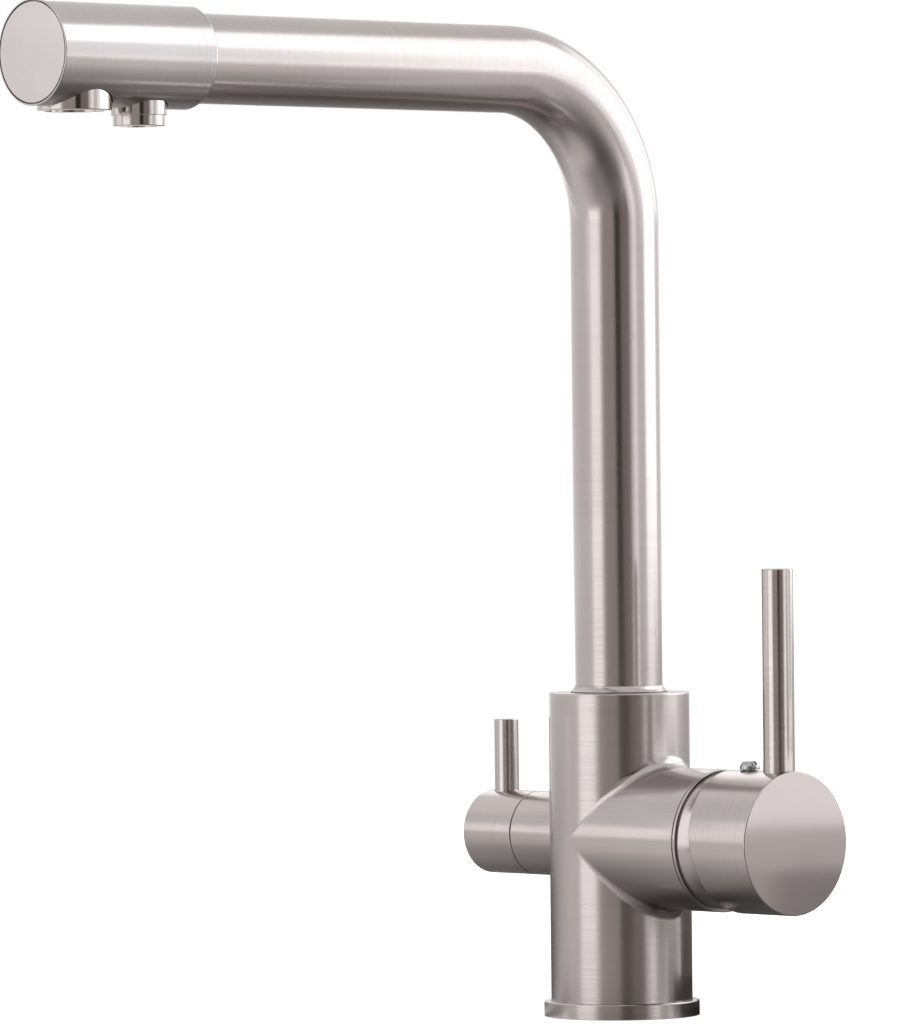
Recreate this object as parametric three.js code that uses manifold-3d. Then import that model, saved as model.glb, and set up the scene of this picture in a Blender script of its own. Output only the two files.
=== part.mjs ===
// Three way kitchen tap: hot, cold and filtered water from one swivelling spout.
// Millimetres, +Z up. The origin is on the worktop, on the column's axis.
// The spout reaches towards -Y, the mixer handle is on +X and the filter handle on -X.
import * as THREE from "three";
import { mergeVertices } from "three/addons/utils/BufferGeometryUtils.js";
import Module from "manifold-3d";

const wasm = await Module();
wasm.setup();

// ---------------------------------------------------------------- driving dimensions

const gap = 0.3; // clearance between pieces that touch or run on each other
const sagitta = 0.14; // most that a facet's middle lies inside its round surface
const deepCut = 2; // how far a cutter runs out past the face it opens

// Column: the upright of the brass body, with its underside recess and spout socket.
const columnRadius = 22.5;
const branchHeight = 57; // height of both handle axes above the worktop
const recessRadius = 19;
const recessRoof = 5.2; // brass between the recess and the cartridge bore
const socketFloorWeb = 3.2; // brass between the cartridge bore and the spout socket
const socketDepth = 25;
const footHeight = 3.3; // the column's foot is stepped to stand in the base ring
const footStep = 1;
const footLift = 0.5; // the foot stays off the worktop
const edgeChamfer = 0.6;

// Inlets in the roof of the underside recess: hot and cold behind the mixer, filtered on -X.
const inletThreadRadius = 5;
const inletThreadDepth = 9;
const mixerInlet = { x: 7, y: 7.5, radius: 3.2 };
const filterInlet = { x: -10.5, radius: 3 };
const studBoss = { x: -6, y: 12.5, radius: 5.5, holeRadius: 3.4, faceHeight: 2, depth: 20 };

// Base ring and its gasket.
const trimRing = { width: 2.25, height: 5, round: 0.8 };
const gasket = { width: 1.2, thickness: 0.9 };

// Mixer cartridge, a 35 mm ceramic disc unit, stacked outwards from the bore's floor.
const cartridgeFloor = 12.5;
const cartridgeRadius = 17.5;
const cartridgeBaseThickness = 3.5;
const cartridgeWall = 3;
const cartridgeShoulder = 5.7; // thickness of the housing's outer end
const portRadius = 3.2;
const mixerPortDrop = 5; // hot and cold ports below the branch axis
const mixedPortRise = 8;
const portSeal = { innerRadius: 3.5, outerRadius: 4.9, thickness: 1.3 };
const discThickness = 3;
const movingDiscRadius = 10.5;
const channel = { radius: 5.2, depth: 1.4, rise: 2 };
const drivePeg = { radius: 1.2, depth: 1, offset: 6 };
const carrierThickness = 4;
const carrierFlat = 8; // half the width between the carrier's guided flats
const rotorFlangeThickness = 2.5;
const rotorNeckRadius = 11.5;
const rotorNeckReach = 3.5; // past the pivot
const rotorSlot = 18; // across the axis, for the stem's swing
const railThickness = 2;
const railBite = 1; // how far the rails run into the rotor's flange
const nutThickness = 4.5;
const nutKeyFlat = 12.1; // half the width across the flats of the nut's hexagonal opening
const threadRadius = 19;
const stem = { width: 7, armWidth: 4, tipRadius: 2.8, tipPlay: 0.4, bossRadius: 4.2, reach: 19 };
const pivotPin = { radius: 1.5, inset: 0.5 };
const openAngle = 20; // the handle's tilt from shut to full flow, in degrees

// Bonnet: trim ring and dome between the branch and the mixer hub.
const bonnetSkirtLength = 5.5;
const bonnetSkirtWall = 1.8;
const bonnetFlange = 1.1;
const pivotInset = 3.6; // the tilt pivot lies this far inside the branch's mouth
const domeInset = 0.5; // the dome stands this far inside the column's radius
const domeWall = 1.6;
const domeReach = 14.2; // from the pivot to the dome's open end

// Mixer hub, its pin and its screw.
const hubGapAtAxis = 7.8; // from the branch's mouth to the hub's slanted rear edge
const hubSlant = 7; // slant of that edge, in degrees, which makes room for the tilt
const hubLength = 24.6; // from the rear edge on the axis to the outer face
const hubBossRadius = 7;
const hubBossInset = 8; // from the pivot to the boss's inner end
const mixerPin = { radius: 5, length: 72.1, fromEnd: 7, seat: 9, dome: 1 };
const hubScrew = { headRadius: 3.2, headHeight: 2.6, radius: 1.5, slot: 0.8, pastDome: 1.8 };
const screwCrown = { flank: 1, radius: 2.2, rise: 0.2 }; // the rounded top of that screw's head

// Filter valve, a quarter-turn ceramic headwork, stacked outwards from its bore's floor.
const filterBranchRadius = 13.5;
const filterBoreRadius = 10;
const filterFloor = 16.5;
const headwork = { noseRadius: 7.9, noseWall: 1, noseLength: 7.2, neckRadius: 4.4, window: 6 };
const headworkLength = 19.9;
const valveGroove = { from: 9.1, width: 2.2 };
const filterSeal = { innerRadius: 4.4, outerRadius: 6.6, thickness: 1.4 };
const filterDiscThickness = 2;
const filterDiscRadius = 6.6;
const filterPort = { radius: 1.6, offset: 3.3 };
const dog = { length: 7.6, width: 1.6, depth: 0.6 };
const spindle = { radius: 4, splineRadius: 3.6, splineLength: 9 };
const spindleSeal = { place: 6, width: 1.6, section: 0.5 };
const spindleClip = { grooveRadius: 3.2, thickness: 0.6, rim: 1.4, mouth: 5 };
const valveSealSection = 0.85;
const mouthInset = 0.6; // the headwork ends inside the branch's mouth
const filterHubLength = 21.9;
const filterPin = { radius: 4, length: 29.7, fromEnd: 6.5, seat: 6.7, dome: 0.8 };
const grubScrew = { radius: 2, fromMouth: 6.2, key: 1.1, keyDepth: 2.2 };

// Spout: foot, bent tube and the filtered water tube inside it.
const spoutFoot = { spigotRadius: 12, boreRadius: 8.5, length: 23, plugRadius: 12.2, plugLength: 9 };
const collar = { radius: 15.5, height: 1.5, chamfer: 1.1 };
const slipRing = { width: 2.55, thickness: 1.5 };
const ringGroove = { depth: 1.8, width: 2.4, lower: 8, upper: 14 };
const catchGroove = { rise: 1.8, width: 3 };
const catchScrew = { radius: 2.5, tipRadius: 1.2, tipLength: 3, inset: 1 };
const tubeRadius = 14;
const tubeWall = 1.5;
const bendRadius = 48.6;
const spoutHeight = 300; // centre line of the level part
const bendSteps = { spout: 10, water: 8 };
const arcSteps = 12; // faces along an arc of the stem's outline
const waterTube = { radius: 3, wall: 1, seat: 4.7 };
const waterSocket = { depth: 9, sealRadius: 4.2, sealHeight: 1.6, sealInset: 1 };
const filteredWay = { radius: 2.2, rise: 1.2 };

// Outlet head, lying along -Y at the spout's end.
const headRadius = 16;
const headEnd = 238; // from the column's axis to the front face
const headLength = 60;
const headWall = 4.5;
const headChamfer = 0.5;
const headShoulder = 1.4;
const tubeSocketDepth = 4.5;
const capRim = 0.5;
const capThickness = 2.4;
const capPlug = 1.6;
const lipWidth = 0.6; // of the lip that holds an outlet's insert

// Main aerator, for hot and cold water.
const aerator = { radius: 11.25, fromFront: 16.1, standOut: 1.2, length: 7.2, wall: 1.4, lip: 1 };
const aeratorChamfer = 0.5;
const aeratorSeal = { wall: 2.7, thickness: 1.4 };
const honeycomb = { hole: 1.2, pitch: 3.4, rings: 2, thickness: 5 };

// Filtered water nozzle behind it, and the elbow that feeds it.
const nozzle = { radius: 7.9, fromFront: 41.2, standOut: 5.3, length: 3.25, wall: 1.75, lip: 1 };
const nozzleCollar = { radius: 8.5, height: 4.5, roof: 1 };
const nozzleStub = { radius: 5.7, length: 6.6, bore: 3 };
const nozzleSeal = { thickness: 0.6 };
const nozzleHoles = { hole: 1, pitch: 3.1, rings: 1, thickness: 5 };
const elbow = { radius: 6.5, height: 13.2, armRadius: 4.8, armLength: 10.6, socket: 5.8, bore: 2.2 };

// ---------------------------------------------------------------- sizes that follow

const boreRadius = cartridgeRadius + gap;
const threadBoreRadius = threadRadius + gap;
const recessHeight = branchHeight - boreRadius - recessRoof;
const socketFloor = branchHeight + boreRadius + socketFloorWeb;
const columnTop = socketFloor + socketDepth;
const socketRadius = spoutFoot.spigotRadius + gap;
const slipInner = socketRadius + gap / 2;
const slipOuter = slipInner + slipRing.width;
const baseRingRadius = columnRadius + trimRing.width;
const gasketInner = columnRadius + gap;
const gasketOuter = gasketInner + gasket.width;

// Stack of the mixer cartridge along +X.
const baseStart = cartridgeFloor + gap;
const baseEnd = baseStart + cartridgeBaseThickness;
const fixedDiscStart = baseEnd + gap;
const movingDiscStart = fixedDiscStart + discThickness + gap;
const carrierStart = movingDiscStart + discThickness + gap;
const rotorStart = carrierStart + carrierThickness + gap;
const neckStart = rotorStart + rotorFlangeThickness;
const housingEnd = neckStart + gap + cartridgeShoulder;
const nutStart = housingEnd + gap;
const skirtStart = nutStart + nutThickness + gap;
const branchMouth = skirtStart + bonnetSkirtLength;
const flangeStart = branchMouth + gap;
const flangeEnd = flangeStart + bonnetFlange;
const pivot = branchMouth - pivotInset;
const housingBore = cartridgeRadius - cartridgeWall;
const leverArm = pivot - carrierStart - stem.tipRadius; // from the pivot to the stem's round tip
const discStroke = leverArm * Math.sin(THREE.MathUtils.degToRad(openAngle));
const discRest = -discStroke / 2; // the moving disc's centre, below the axis when shut

// Stack of the hub along +X.
const domeRadius = columnRadius - domeInset;
const domeEnd = pivot + domeReach;
const cavityRadius = domeRadius + 2 * gap;
const hubRear = branchMouth + hubGapAtAxis;
const hubEnd = hubRear + hubLength;
const bossStart = pivot + hubBossInset;
const stemEnd = pivot + stem.reach;
const mixerPinX = hubEnd - mixerPin.fromEnd;
const hubScrewX = domeEnd + hubScrew.pastDome;

// Stack of the filter valve, measured outwards from the column's axis.
const filterSealStart = filterFloor + gap;
const filterFixedStart = filterSealStart + filterSeal.thickness + gap;
const filterMovingStart = filterFixedStart + filterDiscThickness + gap;
const driverStart = filterMovingStart + filterDiscThickness + gap;
const driverEnd = driverStart + filterDiscThickness;
const headworkEnd = filterSealStart + headworkLength;
const filterMouth = headworkEnd + mouthInset;
const filterHubStart = filterMouth + gap;
const filterHubEnd = filterHubStart + filterHubLength;
const filterPinX = filterHubEnd - filterPin.fromEnd;
const clipStart = headworkEnd + gap;
const clipEnd = clipStart + spindleClip.thickness;
const splineStart = clipEnd + 2 * gap;
const splineEnd = splineStart + spindle.splineLength;
const grooveStart = filterSealStart + valveGroove.from;
const grooveEnd = grooveStart + valveGroove.width;

// Spout stations.
const bendStart = spoutHeight - bendRadius;
const headStart = headEnd - headLength;
const tubeEnd = headStart + tubeSocketDepth - gap;
const headBore = headRadius - headWall;
const aeratorY = -(headEnd - aerator.fromFront);
const nozzleY = -(headEnd - nozzle.fromFront);
const aeratorBottom = spoutHeight - headRadius - aerator.standOut;
const aeratorSeat = aeratorBottom + aerator.length + aeratorSeal.thickness + 2 * gap;
const nozzleBottom = spoutHeight - headRadius - nozzle.standOut;
const collarTop = nozzleBottom + nozzle.length + nozzleCollar.height;
const nozzleSeat = collarTop + nozzleSeal.thickness + 2 * gap;
const stubTop = collarTop + nozzleStub.length;
const elbowArmEnd = nozzleY + elbow.armLength;
const waterTubeEnd = elbowArmEnd - elbow.socket + gap;
const waterSocketFloor = socketFloor - waterSocket.depth;
const waterSealTop = socketFloor - waterSocket.sealInset;

// ---------------------------------------------------------------- shape helpers

// Number of sides, a multiple of four, that keeps the facets within the sagitta.
function sidesOf(radius) {
  const wanted = Math.PI * Math.sqrt(radius / (2 * sagitta));
  return Math.max(8, 4 * Math.round(wanted / 4));
}

// A profile of [radius, height] points, counterclockwise, turned about +Z.
function turned(profile, sides) {
  const widest = Math.max(...profile.map(([radius]) => radius));
  const points = profile.map(([radius, height]) => new THREE.Vector2(radius, height));
  return new THREE.LatheGeometry(points, sides ?? sidesOf(widest)).rotateX(Math.PI / 2);
}

// The same, turned about +X and about -Y.
function turnedX(profile, sides) {
  return turned(profile, sides).rotateY(Math.PI / 2);
}

function turnedOut(profile, sides) {
  return turned(profile, sides).rotateX(Math.PI / 2);
}

function rodProfile(radius, from, to, chamferFrom = 0, chamferTo = 0) {
  const profile = [[0, from]];
  if (chamferFrom > 0) profile.push([radius - chamferFrom, from]);
  profile.push([radius, from + chamferFrom], [radius, to - chamferTo]);
  if (chamferTo > 0) profile.push([radius - chamferTo, to]);
  profile.push([0, to]);
  return profile;
}

function ringProfile(inner, outer, from, to) {
  return [[inner, from], [outer, from], [outer, to], [inner, to], [inner, from]];
}

// Round bar between two heights, and between two places along X or -Y.
const rod = (radius, from, to, sides) => turned(rodProfile(radius, from, to), sides);
const rodX = (radius, from, to, sides) => turnedX(rodProfile(radius, from, to), sides);
const rodOut = (radius, from, to, sides) => turnedOut(rodProfile(radius, from, to), sides);
const ring = (inner, outer, from, to, sides) => turned(ringProfile(inner, outer, from, to), sides);
const ringX = (inner, outer, from, to) => turnedX(ringProfile(inner, outer, from, to));

// Round bar between any two points.
function rodBetween(radius, start, end, sides) {
  const along = new THREE.Vector3().subVectors(end, start);
  const turn = new THREE.Quaternion().setFromUnitVectors(
    new THREE.Vector3(0, 0, 1),
    along.clone().normalize(),
  );
  return rod(radius, 0, along.length(), sides)
    .applyQuaternion(turn)
    .translate(start.x, start.y, start.z);
}

// O-ring about +Z: a small round section turned about the axis.
function oRing(centreRadius, sectionRadius, height) {
  const profile = [];
  const corners = 6;
  for (let i = 0; i <= corners; i++) {
    const angle = (2 * Math.PI * (i % corners)) / corners;
    const radius = centreRadius + sectionRadius * Math.cos(angle);
    profile.push([radius, height + sectionRadius * Math.sin(angle)]);
  }
  return turned(profile);
}

// Points [radius, place] on a circle about the tilt pivot, from one place along X to another.
function domeArc(radius, from, to, steps) {
  const angleAt = (x) => Math.acos(THREE.MathUtils.clamp((x - pivot) / radius, -1, 1));
  const startAngle = angleAt(from);
  const endAngle = angleAt(to);
  const points = [];
  for (let i = 0; i <= steps; i++) {
    const angle = THREE.MathUtils.lerp(startAngle, endAngle, i / steps);
    points.push([radius * Math.sin(angle), pivot + radius * Math.cos(angle)]);
  }
  return points;
}

const box = (width, depth, height) => new THREE.BoxGeometry(width, depth, height);

// Centres of a hexagonal hole pattern with the given number of rings round the middle.
function hexagonalPlaces(pitch, rings) {
  const places = [];
  for (let q = -rings; q <= rings; q++) {
    for (let r = -rings; r <= rings; r++) {
      if (Math.abs(q + r) > rings) continue;
      places.push([pitch * (q + r / 2), (pitch * r * Math.sqrt(3)) / 2]);
    }
  }
  return places;
}

// ---------------------------------------------------------------- joining and cutting

function solidOf(geometry) {
  const bare = new THREE.BufferGeometry();
  bare.setAttribute("position", geometry.getAttribute("position"));
  if (geometry.index) bare.setIndex(geometry.index);
  const merged = mergeVertices(bare, 1e-4);
  const kept = [];
  const corner = merged.index.array;
  for (let i = 0; i < corner.length; i += 3) {
    const [a, b, c] = [corner[i], corner[i + 1], corner[i + 2]];
    if (a !== b && b !== c && c !== a) kept.push(a, b, c);
  }
  return new wasm.Manifold(
    new wasm.Mesh({
      numProp: 3,
      vertProperties: merged.getAttribute("position").array,
      triVerts: new Uint32Array(kept),
    }),
  );
}

function geometryOf(solid) {
  const mesh = solid.getMesh();
  const geometry = new THREE.BufferGeometry();
  geometry.setAttribute("position", new THREE.BufferAttribute(mesh.vertProperties, 3));
  geometry.setIndex(new THREE.BufferAttribute(mesh.triVerts, 1));
  return geometry;
}

// The joined bodies less the cutters, all as geometries.
function carved(bodies, cutters = []) {
  let solid = bodies.map(solidOf).reduce((whole, next) => whole.add(next));
  for (const cutter of cutters) solid = solid.subtract(solidOf(cutter));
  return geometryOf(solid);
}

// ---------------------------------------------------------------- finishes and the scene graph

function finish(color, roughness, metalness) {
  return () => new THREE.MeshStandardMaterial({ color, roughness, metalness });
}

const brushedNickel = finish(0xb3aaa4, 0.34, 1);
const polishedNickel = finish(0xc4bdb8, 0.16, 1);
const chrome = finish(0xd8d8da, 0.06, 1);
const brass = finish(0xb89654, 0.35, 1);
const steel = finish(0xa9abad, 0.3, 1);
const ceramic = finish(0xf1ede4, 0.2, 0);
const nylon = finish(0x55585c, 0.5, 0);
const slipPlastic = finish(0xe9e7e1, 0.45, 0);
const rubber = finish(0x1d1d1e, 0.8, 0);

const tap = new THREE.Group();
const mixerAxis = new THREE.Group();
mixerAxis.position.z = branchHeight;
const filterAxis = new THREE.Group();
filterAxis.position.z = branchHeight;
filterAxis.rotation.z = Math.PI;
const spout = new THREE.Group();
const head = new THREE.Group();
head.position.z = spoutHeight;
spout.add(head);
tap.add(mixerAxis, filterAxis, spout);

function addPiece(group, name, geometry, material) {
  const mesh = new THREE.Mesh(geometry, material());
  mesh.name = name;
  group.add(mesh);
}

// ---------------------------------------------------------------- body and base

function bodyShell() {
  const foot = columnRadius - footStep;
  const column = turned([
    [0, footLift],
    [foot, footLift],
    [foot, footHeight],
    [columnRadius, footHeight],
    [columnRadius, columnTop - edgeChamfer],
    [columnRadius - edgeChamfer, columnTop],
    [0, columnTop],
  ]);
  const mixerBranch = turnedX(rodProfile(columnRadius, 0, branchMouth, 0, gap));
  const filterBranch = turnedX(rodProfile(filterBranchRadius, -filterMouth, 0, gap));
  for (const branch of [mixerBranch, filterBranch]) branch.translate(0, 0, branchHeight);
  return [column, mixerBranch, filterBranch];
}

// Threaded hose port in the recess roof with a narrower way up to its end height.
function inletCutters(x, y, radius, end) {
  const threadTop = recessHeight + inletThreadDepth;
  return [
    rod(inletThreadRadius, recessHeight - deepCut, threadTop).translate(x, y, 0),
    rod(radius, threadTop - deepCut, end).translate(x, y, 0),
  ];
}

function mixerPassages() {
  const portHeight = branchHeight - mixerPortDrop;
  const cutters = [];
  for (const side of [-1, 1]) {
    const y = side * mixerInlet.y;
    cutters.push(...inletCutters(mixerInlet.x, y, mixerInlet.radius, portHeight + mixerInlet.radius));
    cutters.push(rodX(mixerInlet.radius, mixerInlet.x, baseStart).translate(0, y, portHeight));
  }
  const outletHeight = branchHeight + mixedPortRise;
  const outletX = cartridgeFloor - portRadius - gap;
  cutters.push(rodX(portRadius, outletX, baseStart).translate(0, 0, outletHeight));
  cutters.push(rod(portRadius, outletHeight, socketFloor + deepCut).translate(outletX, 0, 0));
  return cutters;
}

function filterPassages() {
  const { x, radius } = filterInlet;
  const boreTop = branchHeight + filterBoreRadius;
  const start = new THREE.Vector3(-filterFloor - deepCut, 0, boreTop - radius);
  const end = new THREE.Vector3(0, 0, waterSocketFloor + filteredWay.rise);
  return [
    ...inletCutters(x, 0, radius, branchHeight + radius),
    rodX(radius, -filterFloor - deepCut, x).translate(0, 0, branchHeight),
    rodBetween(filteredWay.radius, start, end),
    rod(waterTube.radius + gap, waterSocketFloor, socketFloor + deepCut),
    rod(waterSocket.sealRadius + gap / 2, waterSealTop - waterSocket.sealHeight - gap, waterSealTop),
  ];
}

function tapBody() {
  const boss = rod(studBoss.radius, studBoss.faceHeight, recessHeight + deepCut);
  const bossHole = rod(studBoss.holeRadius, 0, studBoss.faceHeight + studBoss.depth);
  for (const part of [boss, bossHole]) part.translate(studBoss.x, studBoss.y, 0);
  const hollow = solidOf(carved(bodyShell(), [rod(recessRadius, -deepCut, recessHeight)]));
  const counterbore = columnTop - slipRing.thickness - gap;
  const catchHeight = spigotBottom() + catchGroove.rise + catchGroove.width / 2;
  const catchEnd = deepCut - socketRadius;
  const catchBore = rodOut(catchScrew.radius + gap, -columnRadius - deepCut, catchEnd);
  const cutters = [
    bossHole,
    ...mixerPassages(),
    ...filterPassages(),
    rod(socketRadius, socketFloor, columnTop + deepCut),
    rod(slipOuter + gap, counterbore, columnTop + deepCut),
    rodX(boreRadius, cartridgeFloor, branchMouth + deepCut).translate(0, 0, branchHeight),
    rodX(threadBoreRadius, housingEnd - gap, branchMouth + deepCut).translate(0, 0, branchHeight),
    rodX(filterBoreRadius, -filterMouth - deepCut, -filterFloor).translate(0, 0, branchHeight),
    catchBore.translate(0, 0, catchHeight),
  ];
  let solid = hollow.add(solidOf(boss));
  for (const cutter of cutters) solid = solid.subtract(solidOf(cutter));
  return geometryOf(solid);
}

function spigotBottom() {
  return columnTop - spoutFoot.length;
}

function baseRing() {
  const grooveIn = gasketInner - gap;
  const grooveOut = gasketOuter + gap;
  const grooveTop = gasket.thickness + gap;
  const lipTop = footHeight - gap;
  const lip = columnRadius - footStep + gap;
  const inner = columnRadius + gap;
  return turned([
    [lip, 0],
    [grooveIn, 0],
    [grooveIn, grooveTop],
    [grooveOut, grooveTop],
    [grooveOut, 0],
    [baseRingRadius, 0],
    [baseRingRadius, trimRing.height - trimRing.round],
    [baseRingRadius - trimRing.round, trimRing.height],
    [inner, trimRing.height],
    [inner, lipTop],
    [lip, lipTop],
    [lip, 0],
  ]);
}

addPiece(tap, "tap_body", tapBody(), brushedNickel);
addPiece(tap, "base_ring", baseRing(), brushedNickel);
const gasketRing = ring(gasketInner, gasketOuter, 0, gasket.thickness);
addPiece(tap, "base_gasket", gasketRing, rubber);

// ---------------------------------------------------------------- spout

// A centre line of straight, bend, straight, with stations given by index, not by length,
// so that the straight runs take one step each.
class SpoutLine extends THREE.Curve {
  constructor(bottom, end, bends) {
    super();
    this.stations = [new THREE.Vector3(0, 0, bottom)];
    for (let i = 0; i <= bends; i++) {
      const angle = ((Math.PI / 2) * i) / bends;
      const y = -bendRadius * (1 - Math.cos(angle));
      this.stations.push(new THREE.Vector3(0, y, bendStart + bendRadius * Math.sin(angle)));
    }
    this.stations.push(new THREE.Vector3(0, -end, spoutHeight));
    this.bends = bends;
  }

  get steps() {
    return this.stations.length - 1;
  }

  getPoint(t, target = new THREE.Vector3()) {
    const place = THREE.MathUtils.clamp(t, 0, 1) * this.steps;
    const index = Math.min(Math.floor(place), this.steps - 1);
    return target.lerpVectors(this.stations[index], this.stations[index + 1], place - index);
  }

  getUtoTmapping(u) {
    return u;
  }

  getTangent(t, target = new THREE.Vector3()) {
    const bent = THREE.MathUtils.clamp(Math.round(t * this.steps) - 1, 0, this.bends);
    const angle = ((Math.PI / 2) * bent) / this.bends;
    return target.set(0, -Math.sin(angle), Math.cos(angle));
  }
}

function roundPath(radius, sides, clockwise) {
  const points = [];
  for (let i = 0; i < sides; i++) {
    const angle = ((clockwise ? -1 : 1) * 2 * Math.PI * i) / sides;
    points.push(new THREE.Vector2(radius * Math.cos(angle), radius * Math.sin(angle)));
  }
  return points;
}

function bentTube(outer, inner, bottom, end, bends) {
  const sides = sidesOf(outer);
  const section = new THREE.Shape(roundPath(outer, sides, false));
  section.holes.push(new THREE.Path(roundPath(inner, sides, true)));
  const line = new SpoutLine(bottom, end, bends);
  return new THREE.ExtrudeGeometry(section, { extrudePath: line, steps: line.steps });
}

function spoutFootTurning() {
  const { spigotRadius, boreRadius: bore, plugRadius, plugLength } = spoutFoot;
  const grooveRadius = spigotRadius - ringGroove.depth;
  const bottom = spigotBottom();
  const flange = columnTop + gap;
  const top = flange + collar.height;
  const grooves = [
    [bottom + catchGroove.rise, catchGroove.width],
    [bottom + ringGroove.lower, ringGroove.width],
    [bottom + ringGroove.upper, ringGroove.width],
  ];
  const profile = [[bore, bottom], [spigotRadius, bottom]];
  for (const [start, width] of grooves) {
    profile.push([spigotRadius, start], [grooveRadius, start]);
    profile.push([grooveRadius, start + width], [spigotRadius, start + width]);
  }
  profile.push([spigotRadius, flange], [collar.radius, flange]);
  profile.push([collar.radius, top - collar.chamfer], [collar.radius - collar.chamfer, top]);
  profile.push([plugRadius, top], [plugRadius, top + plugLength], [bore, top + plugLength]);
  profile.push([bore, bottom]);
  return turned(profile);
}

function retainingScrew() {
  const { radius, tipRadius, tipLength, inset } = catchScrew;
  const tip = spoutFoot.spigotRadius - ringGroove.depth + gap;
  const back = columnRadius - inset;
  const centre = spigotBottom() + catchGroove.rise + catchGroove.width / 2;
  const profile = [[0, -back], [radius, -back], [radius, -(tip + tipLength)]];
  profile.push([tipRadius, -(tip + tipLength)], [tipRadius, -tip], [0, -tip]);
  const key = rodOut(radius / 2, -back - deepCut, -back + radius, 6);
  return geometryOf(solidOf(turnedOut(profile)).subtract(solidOf(key))).translate(0, 0, centre);
}

addPiece(spout, "spout_foot", spoutFootTurning(), brass);
const spoutRingCentre = spoutFoot.spigotRadius - ringGroove.depth / 2 + gap / 2;
for (const [name, rise] of [["lower", ringGroove.lower], ["upper", ringGroove.upper]]) {
  const height = spigotBottom() + rise + ringGroove.width / 2;
  const seal = oRing(spoutRingCentre, ringGroove.depth / 2, height);
  addPiece(spout, `spout_o_ring_${name}`, seal, rubber);
}
const slipBottom = columnTop - slipRing.thickness;
const slip = ring(slipInner, slipOuter, slipBottom, columnTop);
addPiece(tap, "spout_slip_ring", slip, slipPlastic);
addPiece(tap, "spout_retaining_screw", retainingScrew(), steel);

const tubeBottom = columnTop + gap + collar.height + gap;
const tube = bentTube(tubeRadius, tubeRadius - tubeWall, tubeBottom, tubeEnd, bendSteps.spout);
addPiece(spout, "spout_tube", tube, brushedNickel);
const waterBottom = socketFloor - waterTube.seat;
const waterInner = waterTube.radius - waterTube.wall;
const innerTube = bentTube(waterTube.radius, waterInner, waterBottom, -waterTubeEnd, bendSteps.water);
addPiece(spout, "filtered_water_tube", innerTube, slipPlastic);
const waterSeal = ring(
  waterTube.radius + gap,
  waterSocket.sealRadius,
  waterSealTop - waterSocket.sealHeight - gap / 2,
  waterSealTop - gap / 2,
);
addPiece(tap, "filtered_tube_seal", waterSeal, rubber);

// ---------------------------------------------------------------- outlet head

function outletHead() {
  const shell = turnedOut([
    [0, headStart],
    [headRadius - headShoulder, headStart],
    [headRadius, headStart + headShoulder],
    [headRadius, headEnd - headChamfer],
    [headRadius - headChamfer, headEnd],
    [0, headEnd],
  ]);
  const capBore = headRadius - capRim;
  const below = -headRadius - nozzle.standOut;
  return carved([shell], [
    rodOut(tubeRadius + gap, headStart - deepCut, headStart + tubeSocketDepth),
    rodOut(headBore, headStart + tubeSocketDepth - deepCut, headEnd - capThickness),
    rodOut(capBore, headEnd - capThickness - gap, headEnd + deepCut),
    rod(aerator.radius + gap, below, aeratorSeat - spoutHeight).translate(0, aeratorY, 0),
    rod(nozzleCollar.radius + gap, below, nozzleSeat - spoutHeight).translate(0, nozzleY, 0),
    rod(nozzleStub.radius + gap, below, 0).translate(0, nozzleY, 0),
  ]);
}

function headCap() {
  const radius = headRadius - capRim - gap;
  const plug = headBore - gap;
  const seat = headEnd - capThickness;
  return turnedOut([
    [0, seat - capPlug],
    [plug, seat - capPlug],
    [plug, seat],
    [radius, seat],
    [radius, headEnd - gap],
    [radius - gap, headEnd],
    [0, headEnd],
  ]);
}

// Screwed outlet ring with a lip at the bottom that holds its insert, about +Z at its own place.
function aeratorRing() {
  const { radius, wall, lip, length } = aerator;
  return turned([
    [radius - wall - lipWidth, 0],
    [radius - aeratorChamfer, 0],
    [radius, aeratorChamfer],
    [radius, length],
    [radius - wall, length],
    [radius - wall, lip],
    [radius - wall - lipWidth, lip],
    [radius - wall - lipWidth, 0],
  ]);
}

function nozzleTurning() {
  const { radius, wall, lip, length } = nozzle;
  const inner = radius - wall;
  const shoulder = length + nozzleCollar.height;
  const roof = shoulder - nozzleCollar.roof;
  return turned([
    [inner - lipWidth, 0],
    [radius - headChamfer, 0],
    [radius, headChamfer],
    [radius, length],
    [nozzleCollar.radius, length],
    [nozzleCollar.radius, shoulder],
    [nozzleStub.radius, shoulder],
    [nozzleStub.radius, shoulder + nozzleStub.length],
    [nozzleStub.bore, shoulder + nozzleStub.length],
    [nozzleStub.bore, roof],
    [inner, roof],
    [inner, lip],
    [inner - lipWidth, lip],
    [inner - lipWidth, 0],
  ]);
}

function perforatedDisc(radius, { hole, pitch, rings, thickness }) {
  const holes = hexagonalPlaces(pitch, rings).map(([x, y]) =>
    rod(hole, -deepCut, thickness + deepCut, 6).translate(x, y, 0),
  );
  return carved([rod(radius, 0, thickness)], holes);
}

function filterElbow() {
  const { radius, height, armRadius, armLength, socket, bore } = elbow;
  const foot = stubTop + gap - spoutHeight;
  const barrel = rod(radius, foot, foot + height);
  const arm = rodOut(armRadius, -armLength, 0);
  return carved([barrel, arm], [
    rod(bore, foot - deepCut, 0),
    rodOut(bore, -armLength, 0),
    rodOut(waterTube.radius + gap, -armLength - deepCut, socket - armLength),
  ]).translate(0, nozzleY, 0);
}

addPiece(head, "outlet_head", outletHead(), brushedNickel);
addPiece(head, "head_cap", headCap(), brushedNickel);

const aeratorPlace = new THREE.Group();
aeratorPlace.position.set(0, aeratorY, aeratorBottom - spoutHeight);
const nozzlePlace = new THREE.Group();
nozzlePlace.position.set(0, nozzleY, nozzleBottom - spoutHeight);
head.add(aeratorPlace, nozzlePlace);

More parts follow.
